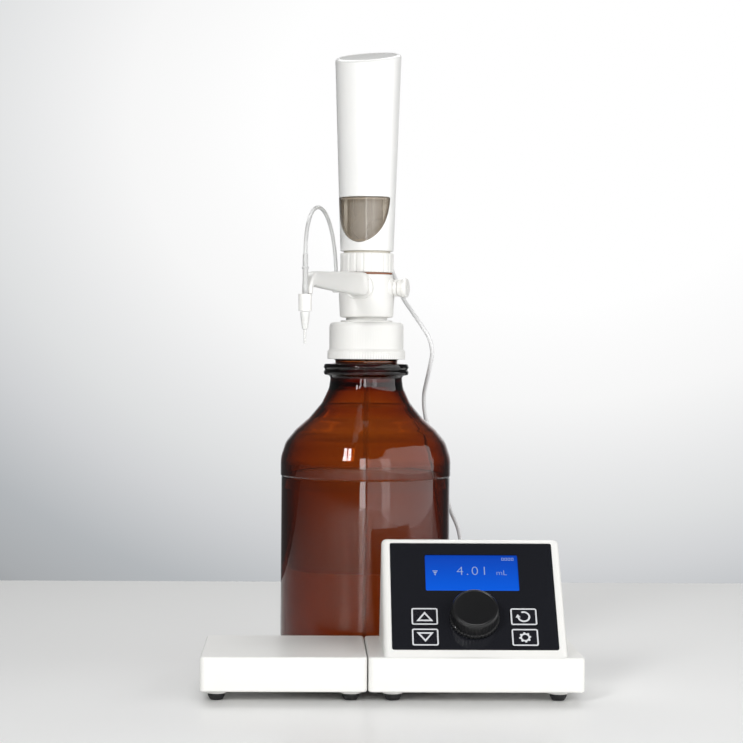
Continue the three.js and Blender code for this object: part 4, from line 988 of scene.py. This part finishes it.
def paneOutline(inset):
    steps = 22
    side = []
    for i in range(steps + 1):
        t = math.sin(i / steps * math.pi / 2)
        z = pane["top"] + (pane["tip"] - pane["top"]) * t
        angle = math.radians(pane["angle"]) * (1 - t * t) ** pane["fullness"]
        x = max(0.0, headRadius(z) * math.sin(angle) - inset)
        side.append((x, min(max(z, pane["tip"] + inset), pane["top"] - inset)))
    line = [list(p) for p in side] + [[-x, z] for x, z in side[-2::-1]]
    line[0].append(1.6)
    line[-1].append(1.6)
    kept = [p for i, p in enumerate(line)
            if i == 0 or (Vector(p[:2]) - Vector(line[i - 1][:2])).length > 0.02]
    return roundedPath(kept, True, 5)


def slantPlace(depth):
    return Matrix.Translation((0, 0, (head["top"] - depth) * mm)) @ Matrix.Rotation(
        math.radians(head["slant"]), 4, "X")


# The head's flaring form as a solid, made thinner all round.
def cone(thinner, low, top=420.0):
    return lathe([[0, low], [headRadius(low) - thinner, low, 0.6 if not thinner else 0],
                  [headRadius(top) - thinner, top], [0, top]], 160, closed=False)


def makeHead():
    outer = cone(0, head["low"])
    slant, top = math.radians(head["slant"]), Vector((0, 0, head["top"] * mm))
    normal = Vector((0, -math.sin(slant), math.cos(slant)))
    bmesh.ops.bisect_plane(outer, geom=outer.verts[:] + outer.edges[:] + outer.faces[:], plane_co=top,
                           plane_no=normal, clear_outer=True)
    bmesh.ops.holes_fill(outer, edges=[e for e in outer.edges if e.is_boundary])
    rim = [e for e in outer.edges if all(abs((v.co - top).dot(normal)) < 1e-6 for v in e.verts)]
    roundEdges(outer, rim, head["rim"], 6)
    slab = moved(block((-60, 60), (-60, 60), (0, 60)), matrix=slantPlace(head["roof"]))
    inner = carve(cone(head["wall"], head["low"] - 4), slab)
    recess = moved(lathe([[0, 0], [head["inset"], 0], [head["inset"], 12], [0, 12]], 128),
                   matrix=slantPlace(head["insetDepth"]))
    glandHole = moved(lathe([[0, 5], [3.5, 5], [3.5, 30], [0, 30]], 48, "Y"), z=head["glandZ"])
    window = prism(paneOutline(0), 1, 32, "XZ")
    shell = carve(outer, inner, recess, window, glandHole)
    mesh = bpy.data.meshes.new("wholeShell")
    shell.to_mesh(mesh)
    shell.free()
    for name, node, side in (("headShellFront", "head_shell_front", -1),
                             ("headShellRear", "head_shell_rear", 1)):
        half = bmesh.new()
        half.from_mesh(mesh)
        limitsY = (-60, -0.06) if side < 0 else (0.06, 60)
        half = carve(half, block((-60, 60), limitsY, (200, 500)), operation="INTERSECT")
        headPiece(name, half, "headPlastic", [node], sharp=40, weighted=True)
    bpy.data.meshes.remove(mesh)
    inset = head["inset"]
    lid = lathe([[0, 0.3], [inset - 0.2, 0.3], [inset - 0.2, head["insetDepth"] - 0.15, 0.4],
                 [0, head["insetDepth"] - 0.15]], 128)
    piece("headLid", lid, "greyPlastic", "head", ["head_top_cap"],
          place=headPlace @ slantPlace(head["insetDepth"]))

    glassPane = carve(prism(paneOutline(0.35), 1, 32, "XZ"), cone(0.25, head["low"] + 1, 330.0),
                      operation="INTERSECT")
    glassPane = carve(glassPane, cone(0.25 + pane["thickness"], head["low"], 331.0))
    headPiece("headWindow", glassPane, "smokedWindow", ["head_window"], sharp=40)
    rim = carve(prism(paneOutline(0.9), 1, 32, "XZ"), cone(1.75, head["low"] + 1, 330.0),
                operation="INTERSECT")
    rim = carve(rim, cone(2.35, head["low"], 331.0), prism(paneOutline(0.9 + pane["rim"]), 0, 33, "XZ"))
    headPiece("windowRim", rim, "paleRim", sharp=40)
    makeCoupling()


coupling = {"low": 262.3, "top": 275.2, "radius": 17.9, "pads": 22, "groove": 0.45, "bore": 15.85}


def makeCoupling():
    low, top, radius = coupling["low"], coupling["top"], coupling["radius"]
    bm = lathe([[coupling["bore"], low, 0.2], [radius - 0.1, low, 0.5], [radius, low + 1.2, 0.1],
                [radius, top - 1.2, 0.1], [radius - 0.1, top, 0.7], [coupling["bore"], top, 0.2]],
               coupling["pads"] * 12)

    def grooveDepth(vert, reach, level, turn):
        if reach > radius - 0.8:
            pads = turn / math.tau * coupling["pads"]
            return coupling["groove"] * max(0.0, 1 - abs(pads - round(pads)) * 8) ** 0.5

    drawIn(bm, grooveDepth)
    headPiece("couplingRing", bm, "whitePlastic", ["coupling_ring"], "ring", sharp=50)


# What shows through the smoked window, with fine edges.
def makeInside():
    tube = lathe([[11.5, 259, 0.2], [13, 259, 0.3], [13, 316, 0.4], [11.5, 316, 0.3]], 96)
    headPiece("glassBarrel", tube, "clearGlass", ["glass_cylinder"])
    seal = lathe([[0, 262], [10.6, 262, 0.4], [11.2, 262.8, 0.2], [11.2, 263.9, 0.2], [10.7, 264.3, 0.2],
                  [10.7, 265.7, 0.2], [11.2, 266.1, 0.2], [11.2, 267.4, 0.4], [0, 268]], 80)
    headPiece("pistonSeal", seal, "softWhite", ["piston_seal"], "piston")
    rod = lathe([[0, 268.3], [2.5, 268.3], [2.5, 299.6, 0.4], [3.75, 302, 0.6], [3.75, 328, 0.2], [2.9, 328],
                 [2.9, 302.6], [0, 302.6]], 48, closed=False)
    headPiece("pistonRod", rod, "pistonDark", ["piston_rod"], "piston")


leadRoute = [
    (-3.12, 83.7, 281), (-1.16, 89.58, 280.2), (1.5, 94, 274), (5.5, 93, 265), (9, 90, 256), (13, 87, 246),
    (18.5, 84, 237.5), (25, 82, 228), (30.5, 81, 219), (32.8, 82, 209.5), (31.5, 86, 199), (30, 94, 190),
    (28.5, 104, 178), (30, 109.3, 164), (36, 107, 144), (41.5, 98, 121), (46.5, 89, 101), (51.5, 79, 88),
    (52.5, 66, 74), (51, 50, 54), (50, 36, 34), (51, 25, 16), (55, 16.5, 4.5), (61.5, 14, 1.6),
    (68, 17, 1.6), (72, 26, 1.6), (72, 40, 1.6), (75.5, 51, 1.6), (84, 56, 1.6), (92.5, 51, 1.6),
    (96, 41, 2.6), (96, 30, 8.5), (96, 21, 14.8), (96, 14.3, 16.5),
]
lead = {"diameter": 2.8, "sides": 14, "perStep": 8}


# A smooth line through the points, with some steps between each pair.
def smoothRoute(points, per):
    pts = [Vector(p) for p in points]
    pts = [pts[0] * 2 - pts[1]] + pts + [pts[-1] * 2 - pts[-2]]
    out = []
    for a, b, c, d in zip(pts, pts[1:], pts[2:], pts[3:]):
        spans = [0.0]
        for p, q in ((a, b), (b, c), (c, d)):
            spans.append(spans[-1] + math.sqrt((q - p).length))
        t0, t1, t2, t3 = spans
        for k in range(per):
            t = t1 + (t2 - t1) * k / per
            a1 = a * ((t1 - t) / (t1 - t0)) + b * ((t - t0) / (t1 - t0))
            a2 = b * ((t2 - t) / (t2 - t1)) + c * ((t - t1) / (t2 - t1))
            a3 = c * ((t3 - t) / (t3 - t2)) + d * ((t - t2) / (t3 - t2))
            b1 = a1 * ((t2 - t) / (t2 - t0)) + a2 * ((t - t0) / (t2 - t0))
            b2 = a2 * ((t3 - t) / (t3 - t1)) + a3 * ((t - t1) / (t3 - t1))
            out.append(b1 * ((t2 - t) / (t2 - t1)) + b2 * ((t - t1) / (t2 - t1)))
    out.append(pts[-2])
    return out


# Four ribs of a strain relief, each narrower than the last; shape gives a groove's depth and heights.
def reliefRibs(start, step, width, taper, shape):
    groove, a, b, c = shape
    ribs = []
    for k in range(4):
        base, wide = start + step * k, width - taper * k
        ribs += [[wide, base, 0.15], [wide - groove, base + a, 0.1], [wide - groove, base + b, 0.1],
                 [wide - 0.1, base + c, 0.15]]
    return ribs


def makeLead():
    line = smoothRoute(leadRoute, lead["perStep"])
    bm = sweep(line, lead["diameter"] / 2, lead["sides"])
    plugAt = mid("lead_plug") / mm
    y0, y1 = sides("lead_plug")[1]
    profile = [[0, y0], [3.3, y0, 0.3], [3.3, y0 + 6.7], [5, y0 + 6.7, 0.5], [5, y0 + 19, 0.5],
               [3.7, y0 + 20, 0.3]]
    profile += reliefRibs(y0 + 21.5, 2, 3.5, 0.28, (0.5, 0.45, 0.95, 1.35)) + [[2.2, y1, 0.2], [0, y1]]
    plug = moved(lathe(profile, 48, "Y", closed=False), plugAt.x, 0, plugAt.z)
    plug = piece("leadPlug", plug, "socketBlack", "stand", ["lead_plug"])
    gland = [[0, 15.95], [3.2, 15.95], [3.2, 18.5], [4.4, 18.5, 0.3], [4.4, 20.5, 0.5], [3.5, 21.4, 0.3]]
    gland += reliefRibs(22.2, 2.1, 3.4, 0.26, (0.55, 0.5, 1.0, 1.5)) + [[2.2, 31, 0.2], [0, 31]]
    relief = moved(lathe(gland, 48, "Y", closed=False), z=head["glandZ"])
    headPiece("leadGland", relief, "leadGrey", ["lead_gland"])
    bmesh.ops.recalc_face_normals(bm, faces=bm.faces)
    mesh = bpy.data.meshes.new("signalLead")
    bm.to_mesh(mesh)
    bm.free()
    mesh.shade_smooth()
    mesh.set_sharp_from_angle(angle=math.radians(60))
    mesh.materials.append(looks["leadGrey"])
    obj = bpy.data.objects.new("signalLead", mesh)
    scene.collection.objects.link(obj)
    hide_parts("head_lead")
    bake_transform(obj)


# The floor's two colours are painted shade: lighter at the front edge and darker towards the back, standing
# in for light falling off away from the lamps.
studio = {"floor": ((0.90, 0.90, 0.89), (0.66, 0.66, 0.65)), "frontEdge": -0.35, "backEdge": 0.56,
          "reach": 4.0, "glowAt": (0.10, 0.10), "glowWide": 0.50, "glowHigh": 0.35}
glowSteps = [(0.0, (0.085, 0.086, 0.088)), (0.14, (0.17, 0.172, 0.178)), (0.26, (0.39, 0.405, 0.42)),
             (0.33, (0.455, 0.475, 0.495)), (0.427, (0.64, 0.65, 0.665)), (0.488, (0.735, 0.745, 0.75)),
             (0.548, (0.81, 0.815, 0.82)), (0.64, (0.93, 0.93, 0.93)), (0.76, (1.0, 1.0, 1.0))]
lamps = {
    "rightWall": {"place": (1.32, -0.70, 0.57), "size": (2.8, 1.3), "power": 20.0, "aim": (0, 0, 0.35)},
    "rightNear": {"place": (0.62, -2.1, 0.57), "size": (1.25, 1.15), "power": 7.5, "aim": (0, 0, 0.3)},
    "nearStrip": {"place": (-0.22, -2.3, 0.62), "size": (0.32, 1.25), "power": 8.8, "aim": (0, 0, 0.3)},
    "leftBox": {"place": (-1.03, -1.94, 1.2), "size": (0.5, 0.8), "power": 27.5, "aim": (0, 0, 0.2)},
    "rearTop": {"place": (0.0, 1.0, 1.5), "size": (1.6, 0.8), "power": 18.0, "aim": (0, 0, 0.2)},
}


def makeFloor():
    bm = bmesh.new()
    bmesh.ops.create_grid(bm, x_segments=1, y_segments=1, size=1)
    bmesh.ops.scale(bm, vec=(studio["reach"], 2.5, 1), verts=bm.verts)
    bmesh.ops.translate(bm, vec=(0, studio["backEdge"] - 2.5, -0.0002), verts=bm.verts)
    mesh = bpy.data.meshes.new("floor")
    bm.to_mesh(mesh)
    bm.free()
    tree, shader = newLook("paleFloor", "floor")
    # Painted shade: the floor colour goes from light at the front edge to darker at the back edge.
    tone = colorAlong(tree, "Y", (studio["frontEdge"], studio["backEdge"]), studio["floor"])
    tree.links.new(tone, shader.inputs["Base Color"])
    setInputs(shader, {"Roughness": 0.34, "Specular IOR Level": 0.35})
    mesh.materials.append(looks["paleFloor"])
    floor = bpy.data.objects.new("floor", mesh)
    scene.collection.objects.link(floor)


# The world is dark all round, with a wide soft glow behind the object.
def makeBackdrop():
    world = bpy.data.worlds.new("studio")
    scene.world = world
    world.use_nodes = True
    tree = world.node_tree
    back = tree.nodes["Background"]
    glowX, glowZ = studio["glowAt"]
    place = addNode(tree, "Mapping")
    place.vector_type = "TEXTURE"
    setInputs(place, {"Location": (glowX, 1, glowZ), "Scale": (studio["glowWide"], 1.0, studio["glowHigh"])})
    glow = addNode(tree, "TexGradient")
    glow.gradient_type = "SPHERICAL"
    ramp = addNode(tree, "ValToRGB")
    for source, target in ((addNode(tree, "TexCoord").outputs["Generated"], place.inputs["Vector"]),
                           (place.outputs["Vector"], glow.inputs["Vector"]),
                           (glow.outputs["Fac"], ramp.inputs["Fac"]),
                           (ramp.outputs["Color"], back.inputs["Color"])):
        tree.links.new(source, target)
    stops = ramp.color_ramp.elements
    for _ in glowSteps[2:]:
        stops.new(0.5)
    for stop, (position, color) in zip(stops, glowSteps):
        stop.position = position
        stop.color = (*color, 1)


def makeLamps():
    scene.view_settings.view_transform = "Standard"
    for name, lamp in lamps.items():
        data = bpy.data.lights.new(name, "AREA")
        data.shape = "RECTANGLE"
        data.size, data.size_y = lamp["size"]
        data.energy = lamp["power"]
        obj = bpy.data.objects.new(name, data)
        scene.collection.objects.link(obj)
        away = Vector(lamp["aim"]) - Vector(lamp["place"])
        obj.rotation_euler = away.to_track_quat("-Z", "Y").to_euler()
        obj.location = lamp["place"]


keptFinishes = {
    "stirrer_motor": "motorCase", "stirrer_rotor": "steel", "stirrer_magnet": "socketBlack",
    "encoder_body": "steel", "encoder_shaft": "steel", "panel_circuit_board": "boardGreen",
    "cap_slip_washer": "softWhite", "inlet_valve_ball": "clearGlass", "outlet_valve_ball": "clearGlass",
    "drive_nut": "innerPlastic", "lead_screw": "steel", "drive_motor": "motorCase",
    "drive_chassis": "innerPlastic", "head_circuit_board": "boardGreen",
}


def finishKept():
    for node, look in keptFinishes.items():
        mesh = frame["nodes"][node].data
        mesh.materials.clear()
        mesh.materials.append(looks[look])


makeCamera()
makeLead()
makeBoxes()
print("boxes done")
makeHousing()
makePanel()
makeRearFittings()
print("console done")
makeBottle()
makeCap()
makeBlock()
makeArm()
print("bottle and arm done")
makeHead()
makeInside()
finishKept()
makeFloor()
makeBackdrop()
makeLamps()
print("head and studio done")
